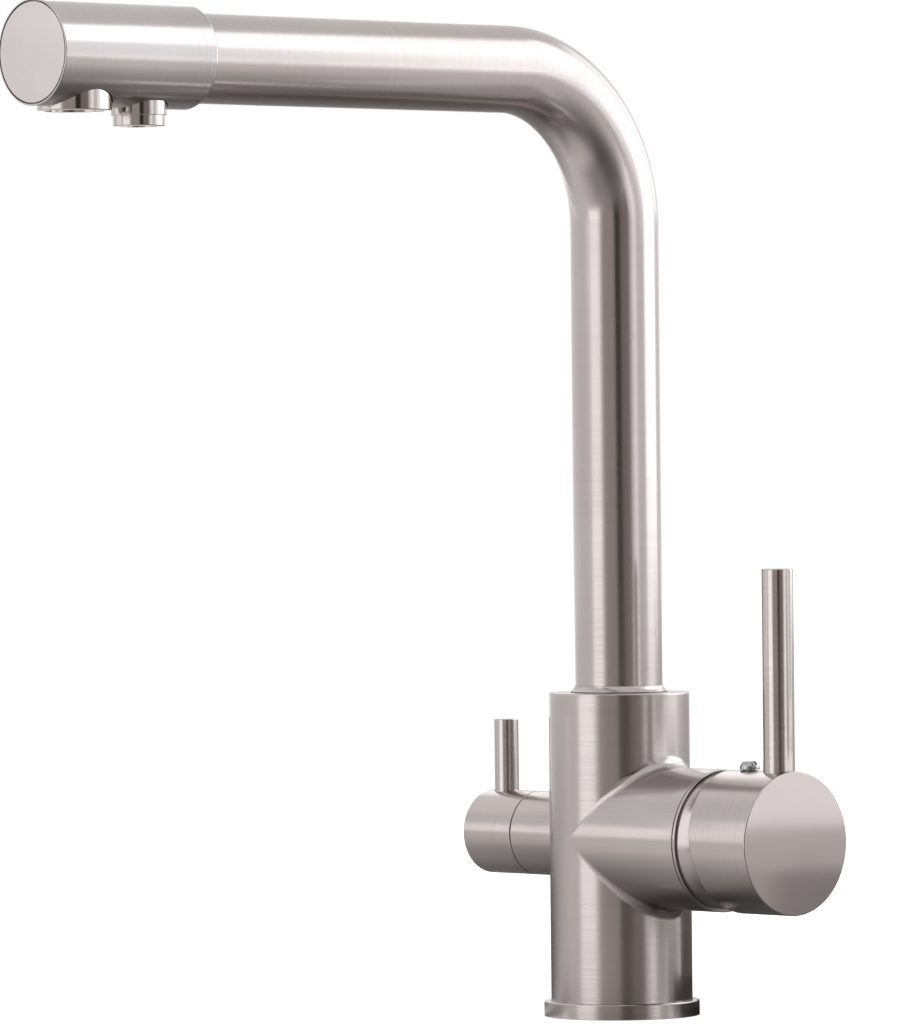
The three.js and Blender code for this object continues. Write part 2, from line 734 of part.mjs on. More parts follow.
addPiece(aeratorPlace, "main_aerator_housing", aeratorRing(), chrome);
const aeratorBore = aerator.radius - aerator.wall - gap;
const aeratorInsert = perforatedDisc(aeratorBore, honeycomb).translate(0, 0, aerator.lip + gap);
addPiece(aeratorPlace, "main_aerator_insert", aeratorInsert, nylon);
const aeratorWasherStart = aerator.length + gap;
const aeratorWasher = ring(
  aerator.radius - aeratorSeal.wall,
  aerator.radius - gap,
  aeratorWasherStart,
  aeratorWasherStart + aeratorSeal.thickness,
);
addPiece(aeratorPlace, "main_aerator_washer", aeratorWasher, rubber);

addPiece(nozzlePlace, "filter_nozzle_housing", nozzleTurning(), chrome);
const nozzleBore = nozzle.radius - nozzle.wall - gap;
const nozzleInsert = perforatedDisc(nozzleBore, nozzleHoles).translate(0, 0, nozzle.lip + gap);
addPiece(nozzlePlace, "filter_nozzle_insert", nozzleInsert, nylon);
const nozzleWasherStart = nozzle.length + nozzleCollar.height + gap;
const nozzleWasher = ring(
  nozzleStub.radius + gap,
  nozzleCollar.radius,
  nozzleWasherStart,
  nozzleWasherStart + nozzleSeal.thickness,
);
addPiece(nozzlePlace, "filter_nozzle_washer", nozzleWasher, rubber);
addPiece(head, "filter_elbow", filterElbow(), slipPlastic);

// ---------------------------------------------------------------- mixer cartridge

const mixerPorts = [
  ["hot", mixerInlet.y, -mixerPortDrop],
  ["cold", -mixerInlet.y, -mixerPortDrop],
  ["mixed", 0, mixedPortRise],
];

// Cutters through the ports, between two places along X.
function portCutters(radius, from, to) {
  return mixerPorts.map(([, y, z]) => rodX(radius, from, to).translate(0, y, z));
}

function cartridgeBase() {
  const sealSeat = baseStart + portSeal.thickness + gap;
  return carved([rodX(cartridgeRadius, baseStart, baseEnd)], [
    ...portCutters(portRadius, baseStart - deepCut, baseEnd + deepCut),
    ...portCutters(portSeal.outerRadius + gap, baseStart - deepCut, sealSeat),
  ]);
}

function cartridgeHousing() {
  const shoulderStart = housingEnd - cartridgeShoulder;
  const opening = rotorNeckRadius + gap;
  return turnedX([
    [housingBore, fixedDiscStart],
    [cartridgeRadius, fixedDiscStart],
    [cartridgeRadius, housingEnd],
    [opening, housingEnd],
    [opening, shoulderStart],
    [housingBore, shoulderStart],
    [housingBore, fixedDiscStart],
  ]);
}

function fixedDisc() {
  const end = fixedDiscStart + discThickness;
  const plate = rodX(housingBore - gap, fixedDiscStart, end);
  return carved([plate], portCutters(portRadius, fixedDiscStart - deepCut, end + deepCut));
}

// The moving disc has a blind channel that links the ports, and two blind holes for its drive.
function movingDisc() {
  const end = movingDiscStart + discThickness;
  const pocket = rodX(channel.radius, movingDiscStart - deepCut, movingDiscStart + channel.depth);
  pocket.translate(0, 0, discRest + channel.rise);
  const plate = rodX(movingDiscRadius, movingDiscStart, end).translate(0, 0, discRest);
  const holes = [-1, 1].map((side) =>
    rodX(drivePeg.radius + gap, end - drivePeg.depth - gap, end + deepCut)
      .translate(0, side * drivePeg.offset, discRest),
  );
  return carved([plate], [pocket, ...holes]);
}

function discCarrier() {
  const end = carrierStart + carrierThickness;
  const middle = (carrierStart + end) / 2;
  const plate = rodX(movingDiscRadius - gap, carrierStart, end).translate(0, 0, discRest);
  const depth = carrierThickness + deepCut;
  const flats = box(depth, 2 * carrierFlat, 2 * movingDiscRadius + deepCut);
  flats.translate(middle, 0, discRest);
  const slotLength = 2 * (stem.tipRadius + stem.tipPlay);
  const slot = box(depth, stem.width + 2 * gap, slotLength).translate(middle, 0, 0);
  const body = solidOf(plate).intersect(solidOf(flats)).subtract(solidOf(slot));
  const pegs = [-1, 1].map((side) =>
    rodX(drivePeg.radius, carrierStart - gap - drivePeg.depth, middle)
      .translate(0, side * drivePeg.offset, discRest),
  );
  return geometryOf(pegs.map(solidOf).reduce((whole, peg) => whole.add(peg), body));
}

// The rotor turns in the housing, guides the carrier with two rails and holds the pivot pin.
function stemRotor() {
  const flangeRadius = housingBore - gap;
  const neckEnd = pivot + rotorNeckReach;
  const turning = turnedX([
    [0, rotorStart],
    [flangeRadius, rotorStart],
    [flangeRadius, neckStart],
    [rotorNeckRadius, neckStart],
    [rotorNeckRadius, neckEnd],
    [0, neckEnd],
  ]);
  const railLength = rotorStart - carrierStart - 2 * gap;
  const rails = [-1, 1].map((side) =>
    box(railLength + railBite, railThickness, rotorSlot).translate(
      rotorStart + (railBite - railLength) / 2,
      side * (carrierFlat + gap + railThickness / 2),
      0,
    ),
  );
  const slotLength = neckEnd - rotorStart;
  const slot = box(slotLength + deepCut, stem.width + 2 * gap, rotorSlot);
  slot.translate((rotorStart + neckEnd) / 2, 0, 0);
  const pinHoleReach = rotorNeckRadius + deepCut;
  const pinHole = rodOut(pivotPin.radius + gap, -pinHoleReach, pinHoleReach);
  return carved([turning, ...rails], [slot, pinHole.translate(pivot, 0, 0)]);
}

// The stem's outline in the plane of its swing, extruded across it.
function mixerStem() {
  const { width, armWidth, tipRadius, bossRadius } = stem;
  const outline = new THREE.Shape();
  const tipAngle = Math.asin(armWidth / 2 / tipRadius);
  const bossAngle = Math.asin(armWidth / 2 / bossRadius);
  const squareAngle = Math.asin(width / 2 / bossRadius);
  outline.absarc(-leverArm, 0, tipRadius, tipAngle, 2 * Math.PI - tipAngle, false);
  outline.absarc(0, 0, bossRadius, Math.PI + bossAngle, 2 * Math.PI - squareAngle, false);
  outline.lineTo(stemEnd - pivot, -width / 2);
  outline.lineTo(stemEnd - pivot, width / 2);
  outline.absarc(0, 0, bossRadius, squareAngle, Math.PI - bossAngle, false);
  const pinHole = new THREE.Path().absarc(0, 0, pivotPin.radius + gap, 0, 2 * Math.PI, true);
  outline.holes.push(pinHole);
  const options = { depth: width, bevelEnabled: false, curveSegments: arcSteps };
  const geometry = new THREE.ExtrudeGeometry(outline, options);
  return geometry.rotateX(Math.PI / 2).translate(pivot, width / 2, 0);
}

function cartridgeNut() {
  const nutEnd = nutStart + nutThickness;
  const corner = nutKeyFlat / Math.cos(Math.PI / 6);
  const key = rodX(corner, nutStart - deepCut, nutEnd + deepCut, 6);
  return carved([rodX(threadRadius, nutStart, nutEnd)], [key]);
}

function mixerBonnet() {
  const skirtInner = threadRadius - bonnetSkirtWall;
  const innerRadius = domeRadius - domeWall;
  return turnedX([
    [skirtInner, skirtStart],
    [threadRadius, skirtStart],
    [threadRadius, flangeStart],
    [columnRadius, flangeStart],
    [columnRadius, flangeEnd - gap],
    [columnRadius - gap, flangeEnd],
    ...domeArc(domeRadius, flangeEnd, domeEnd, 3),
    ...domeArc(innerRadius, domeEnd, flangeEnd + bonnetFlange, 2),
    [skirtInner, flangeStart],
    [skirtInner, skirtStart],
  ]);
}

addPiece(mixerAxis, "cartridge_base", cartridgeBase(), nylon);
for (const [name, y, z] of mixerPorts) {
  const { innerRadius, outerRadius, thickness } = portSeal;
  const seal = ringX(innerRadius, outerRadius, baseStart, baseStart + thickness);
  addPiece(mixerAxis, `port_seal_${name}`, seal.translate(0, y, z), rubber);
}
addPiece(mixerAxis, "fixed_disc", fixedDisc(), ceramic);
addPiece(mixerAxis, "moving_disc", movingDisc(), ceramic);
addPiece(mixerAxis, "disc_carrier", discCarrier(), nylon);
addPiece(mixerAxis, "cartridge_housing", cartridgeHousing(), nylon);
addPiece(mixerAxis, "stem_rotor", stemRotor(), nylon);
const pinReach = rotorNeckRadius - pivotPin.inset;
const pinGeometry = rodOut(pivotPin.radius, -pinReach, pinReach).translate(pivot, 0, 0);
addPiece(mixerAxis, "stem_pivot_pin", pinGeometry, steel);
addPiece(mixerAxis, "mixer_stem", mixerStem(), brass);
addPiece(mixerAxis, "cartridge_nut", cartridgeNut(), brass);
addPiece(mixerAxis, "mixer_bonnet", mixerBonnet(), brushedNickel);

// ---------------------------------------------------------------- mixer handle

// Hub: a round block with a slanted rear edge, a ball socket over the dome and a square boss.
function mixerHub() {
  const slant = THREE.MathUtils.degToRad(hubSlant);
  const rearmost = hubRear - columnRadius * Math.tan(slant) - deepCut;
  const block = turnedX(rodProfile(columnRadius, rearmost, hubEnd, 0, headChamfer));
  const span = 4 * columnRadius;
  const rearCut = box(span, span, span).translate(-span / 2, 0, 0).rotateY(-slant);
  rearCut.translate(hubRear, 0, 0);
  const cavityEnd = pivot + cavityRadius;
  const ball = turnedX([
    [0, pivot],
    ...domeArc(cavityRadius, pivot, cavityEnd, 6).slice(0, -1),
    [0, cavityEnd],
  ]);
  const boss = rodX(hubBossRadius, bossStart, cavityEnd + deepCut);
  const holder = solidOf(block).subtract(solidOf(rearCut)).subtract(solidOf(ball));
  const socketWidth = stem.width + 2 * gap;
  const socketStart = bossStart - deepCut;
  const socketEnd = stemEnd + gap;
  const socket = box(socketEnd - socketStart, socketWidth, socketWidth);
  socket.translate((socketEnd + socketStart) / 2, 0, 0);
  const pinBottom = columnRadius - mixerPin.seat - gap;
  const cutters = [
    socket,
    rod(hubScrew.radius + gap, stem.width / 2, columnRadius + deepCut).translate(hubScrewX, 0, 0),
    rod(mixerPin.radius + gap, pinBottom, columnRadius + deepCut).translate(mixerPinX, 0, 0),
  ];
  let solid = holder.add(solidOf(boss));
  for (const cutter of cutters) solid = solid.subtract(solidOf(cutter));
  return geometryOf(solid);
}

// Pin seated in a hub of the given radius, with a slightly domed top.
function handlePin({ radius, length, seat, dome }, hubRadius) {
  const bottom = hubRadius - seat;
  const top = bottom + length;
  return turned([
    [0, bottom],
    [radius - gap, bottom],
    [radius, bottom + gap],
    [radius, top - dome],
    [radius - dome, top - dome / 4],
    [0, top],
  ]);
}

function slottedScrew() {
  const { headRadius, headHeight, radius, slot } = hubScrew;
  const seat = columnRadius + gap;
  const top = seat + headHeight;
  const tip = stem.width / 2 + gap;
  const turning = turned([
    [0, tip],
    [radius, tip],
    [radius, seat],
    [headRadius, seat],
    [headRadius, seat + screwCrown.flank],
    [screwCrown.radius, top - screwCrown.rise],
    [0, top],
  ]);
  const cut = box(2 * headRadius + deepCut, slot, headHeight).translate(0, 0, top);
  return carved([turning], [cut]).translate(hubScrewX, 0, 0);
}

addPiece(mixerAxis, "mixer_hub", mixerHub(), brushedNickel);
const mixerPinGeometry = handlePin(mixerPin, columnRadius);
addPiece(mixerAxis, "mixer_pin", mixerPinGeometry.translate(mixerPinX, 0, 0), polishedNickel);
addPiece(mixerAxis, "hub_screw", slottedScrew(), steel);

// ---------------------------------------------------------------- filter valve and handle

function headworkBody() {
  const outer = filterBoreRadius - gap;
  const inner = headwork.noseRadius - headwork.noseWall;
  const boreEnd = driverEnd + gap;
  const turning = turnedX([
    [inner, filterSealStart],
    [headwork.noseRadius, filterSealStart],
    [headwork.noseRadius, filterSealStart + headwork.noseLength],
    [outer, filterSealStart + headwork.noseLength],
    [outer, grooveStart],
    [headwork.noseRadius, grooveStart],
    [headwork.noseRadius, grooveEnd],
    [outer, grooveEnd],
    [outer, headworkEnd],
    [headwork.neckRadius, headworkEnd],
    [headwork.neckRadius, boreEnd],
    [inner, boreEnd],
    [inner, filterSealStart],
  ]);
  const windowLength = filterSealStart + headwork.noseLength - filterMovingStart - gap;
  const windows = box(windowLength, headwork.window, 2 * outer);
  windows.translate(filterMovingStart + windowLength / 2, 0, 0);
  return carved([turning], [windows]);
}

function portedDisc(start, across) {
  const end = start + filterDiscThickness;
  const plate = rodX(filterDiscRadius, start, end);
  const ports = [-1, 1].map((side) => {
    const [y, z] = across ? [side * filterPort.offset, 0] : [0, side * filterPort.offset];
    return rodX(filterPort.radius, start - deepCut, end + deepCut).translate(0, y, z);
  });
  return carved([plate], ports);
}

function drivenDisc() {
  const depth = dog.depth + gap;
  const top = filterMovingStart + filterDiscThickness;
  const slot = box(2 * depth, dog.length + 2 * gap, dog.width + 2 * gap).translate(top, 0, 0);
  return carved([portedDisc(filterMovingStart, false)], [slot]);
}

function filterSpindle() {
  const sealStart = driverEnd + spindleSeal.place;
  const sealFloor = spindle.radius - 2 * spindleSeal.section;
  const clipGrooveStart = clipStart - gap / 2;
  const clipGrooveEnd = clipEnd + gap / 2;
  const turning = turnedX([
    [0, driverStart],
    [filterDiscRadius, driverStart],
    [filterDiscRadius, driverEnd],
    [spindle.radius, driverEnd],
    [spindle.radius, sealStart],
    [sealFloor, sealStart],
    [sealFloor, sealStart + spindleSeal.width],
    [spindle.radius, sealStart + spindleSeal.width],
    [spindle.radius, clipGrooveStart],
    [spindleClip.grooveRadius, clipGrooveStart],
    [spindleClip.grooveRadius, clipGrooveEnd],
    [spindle.radius, clipGrooveEnd],
    [spindle.radius, splineStart],
    [spindle.splineRadius, splineStart],
    [spindle.splineRadius, splineEnd],
    [0, splineEnd],
  ]);
  const tongue = box(2 * dog.depth + gap, dog.length, dog.width);
  return carved([turning, tongue.translate(driverStart - gap / 2, 0, 0)]);
}

// Open ring that snaps into the spindle's groove.
function retainingClip() {
  const { grooveRadius, rim, mouth } = spindleClip;
  const washer = ringX(grooveRadius + gap / 2, spindle.radius + rim, clipStart, clipEnd);
  const opening = box(deepCut, mouth, 2 * spindle.radius);
  return carved([washer], [opening.translate(clipStart, 0, -spindle.radius - rim)]);
}

function filterHub() {
  const block = turnedX(rodProfile(filterBranchRadius, filterHubStart, filterHubEnd, gap, headChamfer));
  const pinBottom = filterBranchRadius - filterPin.seat - gap;
  const grubX = filterMouth + grubScrew.fromMouth;
  const outside = filterBranchRadius + deepCut;
  const openEnd = filterHubStart - deepCut;
  return carved([block], [
    rodX(spindle.splineRadius + gap, openEnd, splineEnd + gap),
    rodX(spindle.radius + spindleClip.rim + gap, openEnd, splineStart + gap),
    rod(filterPin.radius + gap, pinBottom, outside).translate(filterPinX, 0, 0),
    rod(grubScrew.radius + gap, -outside, -spindle.splineRadius).translate(grubX, 0, 0),
  ]);
}

function hubGrubScrew() {
  const { radius, key, keyDepth, fromMouth } = grubScrew;
  const outer = edgeChamfer - filterBranchRadius;
  const inner = -spindle.splineRadius - gap;
  const socket = rod(key, outer - deepCut, outer + keyDepth, 6);
  return carved([rod(radius, outer, inner)], [socket]).translate(filterMouth + fromMouth, 0, 0);
}

addPiece(filterAxis, "filter_valve_body", headworkBody(), brass);
const seatSeal = ringX(
  filterSeal.innerRadius,
  filterSeal.outerRadius,
  filterSealStart,
  filterSealStart + filterSeal.thickness,
);
addPiece(filterAxis, "filter_seat_seal", seatSeal, rubber);
addPiece(filterAxis, "filter_fixed_disc", portedDisc(filterFixedStart, true), ceramic);
addPiece(filterAxis, "filter_moving_disc", drivenDisc(), ceramic);
addPiece(filterAxis, "filter_spindle", filterSpindle(), brass);
const valveRingRadius = (headwork.noseRadius + filterBoreRadius) / 2;
const valveRing = oRing(valveRingRadius, valveSealSection, 0).rotateY(Math.PI / 2);
valveRing.translate((grooveStart + grooveEnd) / 2, 0, 0);
addPiece(filterAxis, "filter_valve_o_ring", valveRing, rubber);
const spindleRingRadius = spindle.radius - spindleSeal.section + gap / 2;
const spindleRing = oRing(spindleRingRadius, spindleSeal.section, 0).rotateY(Math.PI / 2);
spindleRing.translate(driverEnd + spindleSeal.place + spindleSeal.width / 2, 0, 0);
addPiece(filterAxis, "filter_spindle_o_ring", spindleRing, rubber);
addPiece(filterAxis, "filter_spindle_clip", retainingClip(), steel);
addPiece(filterAxis, "filter_hub", filterHub(), brushedNickel);
const filterPinGeometry = handlePin(filterPin, filterBranchRadius);
addPiece(filterAxis, "filter_pin", filterPinGeometry.translate(filterPinX, 0, 0), polishedNickel);
addPiece(filterAxis, "filter_grub_screw", hubGrubScrew(), steel);

export default tap;
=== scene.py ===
# %% [markdown]
# # A three way kitchen tap in brushed nickel
#
# The tap gives hot, cold and filtered water. The solids of the real part are already there, in
# their true size. This lesson dresses them: round pieces are turned again with many more faces,
# their rims get the small radii that catch the light, and every surface gets its finish.
# All shapes are written in millimetres and become metres when a piece is finished.

import math

import bmesh
import bpy
from mathutils import Matrix, Vector


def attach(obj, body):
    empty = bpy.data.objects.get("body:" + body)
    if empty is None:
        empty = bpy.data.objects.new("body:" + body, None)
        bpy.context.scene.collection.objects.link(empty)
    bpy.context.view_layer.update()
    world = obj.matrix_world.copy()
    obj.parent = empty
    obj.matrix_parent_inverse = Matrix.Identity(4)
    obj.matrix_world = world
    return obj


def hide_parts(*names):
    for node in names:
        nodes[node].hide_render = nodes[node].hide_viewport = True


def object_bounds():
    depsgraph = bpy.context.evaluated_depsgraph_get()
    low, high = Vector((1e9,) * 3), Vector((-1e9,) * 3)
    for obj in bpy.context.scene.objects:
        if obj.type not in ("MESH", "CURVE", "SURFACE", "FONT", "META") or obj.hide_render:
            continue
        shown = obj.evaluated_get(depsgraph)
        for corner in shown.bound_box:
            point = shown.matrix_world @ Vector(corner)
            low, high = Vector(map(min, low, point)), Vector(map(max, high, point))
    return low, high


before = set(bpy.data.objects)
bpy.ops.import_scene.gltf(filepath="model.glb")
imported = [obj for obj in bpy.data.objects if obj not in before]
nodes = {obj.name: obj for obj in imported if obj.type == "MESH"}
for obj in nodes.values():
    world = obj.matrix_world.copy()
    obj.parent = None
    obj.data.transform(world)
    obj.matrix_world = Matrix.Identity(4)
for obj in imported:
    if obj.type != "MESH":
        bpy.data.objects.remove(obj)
cad_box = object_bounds()
MM = 0.001
cad_size = [round(side / MM, 1) for side in cad_box[1] - cad_box[0]]
print("solids:", len(nodes), "box in mm:", cad_size)

# %% [markdown]
# ## A camera that stands where the photographer stood
#
# The picture was taken from far away with a long lens, almost level with the tap's middle.
# A camera like that flattens the depth. It could be placed by eye, but the edges of the round
# parts in the picture give its place far better, so the numbers below come from such a fit.

# %% Camera
CAMERA_AZIMUTH = math.radians(47.673)
CAMERA_ELEVATION = math.radians(0.479)
CAMERA_ROLL = math.radians(-0.582)
CAMERA_DISTANCE = 2444.0
FOCAL_PIXELS = 7681.4
LONG_SIDE_PIXELS = 1024
SENSOR_MM = 36.0
AIM_SIDEWAYS = -52.87
AIM_HEIGHT = 160.7
NEAREST_MM = 50
FARTHEST_MM = 50000

toward_camera = Vector((math.sin(CAMERA_AZIMUTH), -math.cos(CAMERA_AZIMUTH), 0))
picture_right = Vector((math.cos(CAMERA_AZIMUTH), math.sin(CAMERA_AZIMUTH), 0))
back = toward_camera * math.cos(CAMERA_ELEVATION) + Vector((0, 0, math.sin(CAMERA_ELEVATION)))
picture_up = back.cross(picture_right)
aim = picture_right * AIM_SIDEWAYS + Vector((0, 0, AIM_HEIGHT))


def add_camera():
    data = bpy.data.cameras.new("camera")
    data.sensor_width = SENSOR_MM
    data.lens = FOCAL_PIXELS * SENSOR_MM / LONG_SIDE_PIXELS
    data.clip_start = NEAREST_MM * MM
    data.clip_end = FARTHEST_MM * MM
    camera = bpy.data.objects.new("camera", data)
    bpy.context.scene.collection.objects.link(camera)
    right = picture_right * math.cos(CAMERA_ROLL) + picture_up * math.sin(CAMERA_ROLL)
    up = picture_up * math.cos(CAMERA_ROLL) - picture_right * math.sin(CAMERA_ROLL)
    turn = Matrix((right, up, back)).transposed().to_4x4()
    camera.matrix_world = Matrix.Translation((aim + back * CAMERA_DISTANCE) * MM) @ turn
    bpy.context.scene.camera = camera
    print("camera at", [round(c, 3) for c in camera.matrix_world.translation], "lens", data.lens)


add_camera()

# %% [markdown]
# ## Nodes and colours
#
# Colours are written as web colours and turned into the linear values that shading works with.
# One helper adds a shader node, sets its options and fills or links its inputs.

# %% Helpers for materials
def linear(web_colour):
    channels = [int(web_colour[i : i + 2], 16) / 255 for i in (1, 3, 5)]
    return [c / 12.92 if c <= 0.04045 else ((c + 0.055) / 1.055) ** 2.4 for c in channels] + [1.0]


def add_node(tree, kind, inputs=None, **options):
    node = tree.nodes.new(kind)
    for name, value in options.items():
        setattr(node, name, value)
    for name, value in (inputs or {}).items():
        if isinstance(value, bpy.types.NodeSocket):
            tree.links.new(value, node.inputs[name])
        else:
            node.inputs[name].default_value = value
    return node


def new_material(name):
    material = bpy.data.materials.new(name)
    material.use_nodes = True
    material.node_tree.nodes.clear()
    return material, material.node_tree


# %% [markdown]
# ## Brushed nickel
#
# The real tap is cast and drawn brass, plated with nickel and then brushed with a fine belt. The
# belt leaves hair lines round each turned part. They can't be seen one by one, but they spread
# the reflections, so the metal looks soft and warm. An anisotropic shader could imitate that.
# Here the lines are drawn instead, as a noise that is stretched round the part, and they drive
# roughness and bump. That needs no tangents and looks the same from all sides. The real lines
# are about 0.05 mm apart. They are drawn at 0.4 mm, or the picture couldn't show them at all.

# %% Finish: brushed nickel
HAIR_LINE_MM = 0.4
HAIR_LENGTH_MM = 30.0
CLOUD_MM = 35.0
# the two noises together stay about between these values
FAINTEST = 0.1
STRONGEST = 0.43


def hair_lines(tree, across, straightened):
    """Noise that is fine along one axis of the part and long along the other two."""
    if straightened:
        place = add_node(tree, "ShaderNodeAttribute", attribute_name=straightened).outputs["Vector"]
    else:
        place = add_node(tree, "ShaderNodeTexCoord").outputs["Object"]
    scale = [1 / (HAIR_LENGTH_MM * MM)] * 3
    scale["XYZ".index(across)] = 1 / (HAIR_LINE_MM * MM)
    stretched = add_node(tree, "ShaderNodeMapping", {"Vector": place, "Scale": scale})
    lines = add_node(
        tree,
        "ShaderNodeTexNoise",
        {"Vector": stretched.outputs["Vector"], "Scale": 1.0, "Detail": 3.0, "Roughness": 0.6},
    )
    clouds = add_node(
        tree,
        "ShaderNodeTexNoise",
        {"Vector": place, "Scale": 1 / (CLOUD_MM * MM), "Detail": 2.0},
    )
    return lines.outputs["Fac"], clouds.outputs["Fac"]


def brushed_metal(name, across, light, dark, smooth, rough, depth_mm, straightened=None):
    material, tree = new_material(name)
    lines, clouds = hair_lines(tree, across, straightened)
    both = add_node(tree, "ShaderNodeMath", {0: lines, 1: clouds}, operation="MULTIPLY")
    both = both.outputs[0]
    shift = add_node(
        tree, "ShaderNodeMapRange", {"Value": both, "From Min": FAINTEST, "From Max": STRONGEST}
    )
    tone = add_node(
        tree,
        "ShaderNodeMix",
        {"Factor": shift.outputs["Result"], 6: linear(light), 7: linear(dark)},
        data_type="RGBA",
    )
    spread = add_node(
        tree,
        "ShaderNodeMapRange",
        {
            "Value": both,
            "From Min": FAINTEST,
            "From Max": STRONGEST,
            "To Min": smooth,
            "To Max": rough,
        },
    )
    bump = add_node(
        tree,
        "ShaderNodeBump",
        {"Height": lines, "Strength": 0.5, "Distance": depth_mm * MM},
    )
    shader = add_node(
        tree,
        "ShaderNodeBsdfPrincipled",
        {
            "Base Color": tone.outputs[2],
            "Metallic": 1.0,
            "Roughness": spread.outputs["Result"],
            "Normal": bump.outputs["Normal"],
        },
    )
    add_node(tree, "ShaderNodeOutputMaterial", {"Surface": shader.outputs[0]})
    return material


NICKEL_LIGHT = "#b4acab"
NICKEL_DARK = "#aca4a3"
nickel_upright = brushed_metal(
    "nickel_brushed_round_the_column", "Z", NICKEL_LIGHT, NICKEL_DARK, 0.17, 0.24, 0.005
)
nickel_tube = brushed_metal(
    "nickel_brushed_round_the_tube",
    "Z",
    NICKEL_LIGHT,
    NICKEL_DARK,
    0.17,
    0.24,
    0.005,
    "straightened",
)
nickel_across = brushed_metal(
    "nickel_brushed_round_the_hubs", "X", NICKEL_LIGHT, NICKEL_DARK, 0.18, 0.22, 0.002
)
nickel_forward = brushed_metal(
    "nickel_brushed_round_the_head", "Y", "#b5afaf", "#aba5a5", 0.16, 0.2, 0.003
)
nickel_pin = brushed_metal(
    "nickel_polished_pins", "Z", "#bab3b0", "#b1aaa7", 0.14, 0.18, 0.002
)
nickels = [nickel_upright, nickel_tube, nickel_across, nickel_forward, nickel_pin]
print("nickel finishes:", [material.name for material in nickels])

# %% [markdown]
# ## The other finishes
#
# The outlets are plated and polished bright. Inside there are turned brass, stainless steel,
# white alumina discs, grey glass filled nylon, white low friction plastic and black rubber. Only
# their edges ever show, but each still gets the small unevenness that its making leaves.

# %% Finishes: plating, brass, steel, ceramic, plastics, rubber
def plain_finish(name, light, dark, grain_mm, smooth, rough, depth_mm, metal=0.0, ior=None):
    material, tree = new_material(name)
    place = add_node(tree, "ShaderNodeTexCoord").outputs["Object"]
    grain = add_node(
        tree,
        "ShaderNodeTexNoise",
        {"Vector": place, "Scale": 1 / (grain_mm * MM), "Detail": 4.0, "Roughness": 0.55},
    ).outputs["Fac"]
    tone = add_node(
        tree,
        "ShaderNodeMix",
        {"Factor": grain, 6: linear(light), 7: linear(dark)},
        data_type="RGBA",
    )
    spread = add_node(
        tree, "ShaderNodeMapRange", {"Value": grain, "To Min": smooth, "To Max": rough}
    )
    bump = add_node(
        tree, "ShaderNodeBump", {"Height": grain, "Strength": 0.4, "Distance": depth_mm * MM}
    )
    inputs = {
        "Base Color": tone.outputs[2],
        "Metallic": metal,
        "Roughness": spread.outputs["Result"],
        "Normal": bump.outputs["Normal"],
    }
    if ior:
        inputs["IOR"] = ior
    shader = add_node(tree, "ShaderNodeBsdfPrincipled", inputs)
    add_node(tree, "ShaderNodeOutputMaterial", {"Surface": shader.outputs[0]})
    return material


finishes = {
    "chrome": plain_finish("outlet_plating", "#bab3b0", "#aea7a4", 12, 0.1, 0.15, 0.001, 1.0),
    "brass": plain_finish("brass_turned", "#c09d5c", "#ae8a4a", 0.8, 0.25, 0.4, 0.01, 1.0),
    "steel": plain_finish("steel_stainless", "#b4b4b4", "#a3a4a6", 0.8, 0.2, 0.32, 0.006, 1.0),
    "ceramic": plain_finish(
        "alumina_lapped", "#f3efe7", "#ebe6dc", 0.4, 0.12, 0.2, 0.001, ior=1.76
    ),
    "nylon": plain_finish("nylon_moulded", "#5b5e62", "#505357", 0.6, 0.42, 0.58, 0.01, ior=1.53),
    "slip_plastic": plain_finish(
        "acetal_moulded", "#ebe9e4", "#e2dfd8", 0.7, 0.35, 0.5, 0.008, ior=1.48
    ),
    "rubber": plain_finish(
        "rubber_moulded", "#222223", "#181819", 0.5, 0.65, 0.85, 0.015, ior=1.52
    ),
}
SLOT_OF_NODE = {
    "rubber": "base_gasket spout_o_ring_lower spout_o_ring_upper filtered_tube_seal"
    " main_aerator_washer filter_nozzle_washer port_seal_hot port_seal_cold port_seal_mixed"
    " filter_seat_seal filter_valve_o_ring filter_spindle_o_ring",
    "slip_plastic": "spout_slip_ring filtered_water_tube filter_elbow",
    "nylon": "main_aerator_insert filter_nozzle_insert cartridge_base disc_carrier"
    " cartridge_housing stem_rotor",
    "ceramic": "fixed_disc moving_disc filter_fixed_disc filter_moving_disc",
    "brass": "mixer_stem cartridge_nut filter_valve_body filter_spindle",
    "steel": "stem_pivot_pin filter_spindle_clip",
}
for slot, names in SLOT_OF_NODE.items():
    for name in names.split():
        nodes[name].data.materials.clear()
        nodes[name].data.materials.append(finishes[slot])
print("solids with a new finish:", sum(len(names.split()) for names in SLOT_OF_NODE.values()))

# %% [markdown]
# ## Turning
#
# Nearly every piece of a tap comes off a lathe. Blender's spin does the same: it turns an
# outline of (radius, height) points about an axis. The outline stays simple, because the bevel
# operator rounds the rims afterwards, each by its own width. Bores and recesses are cut out by
# Boolean modifiers on throwaway objects, as a drill or a boring bar would cut them.
#
# Smooth shading averages the normals of the faces that meet at a vertex. Beside a narrow rounded
# rim that average bends the reflection on the wide flat face, which then looks domed. A Weighted
# Normal modifier lets the widest face decide, so a flat face mirrors like a flat one.

# %% Helpers for turned pieces
SIDES = 144
RIM_STEPS = 4
MERGE = 1e-4
NEAR = 1e-3
ALONG_X = Matrix.Rotation(math.radians(90), 4, "Y")
ALONG_MINUS_X = Matrix.Rotation(math.radians(-90), 4, "Y")
ALONG_MINUS_Y = Matrix.Rotation(math.radians(90), 4, "X")


def at(x, y, z):
    return Matrix.Translation((x, y, z))


def clean(bm):
    bmesh.ops.remove_doubles(bm, verts=bm.verts, dist=MERGE)
    bmesh.ops.recalc_face_normals(bm, faces=bm.faces)


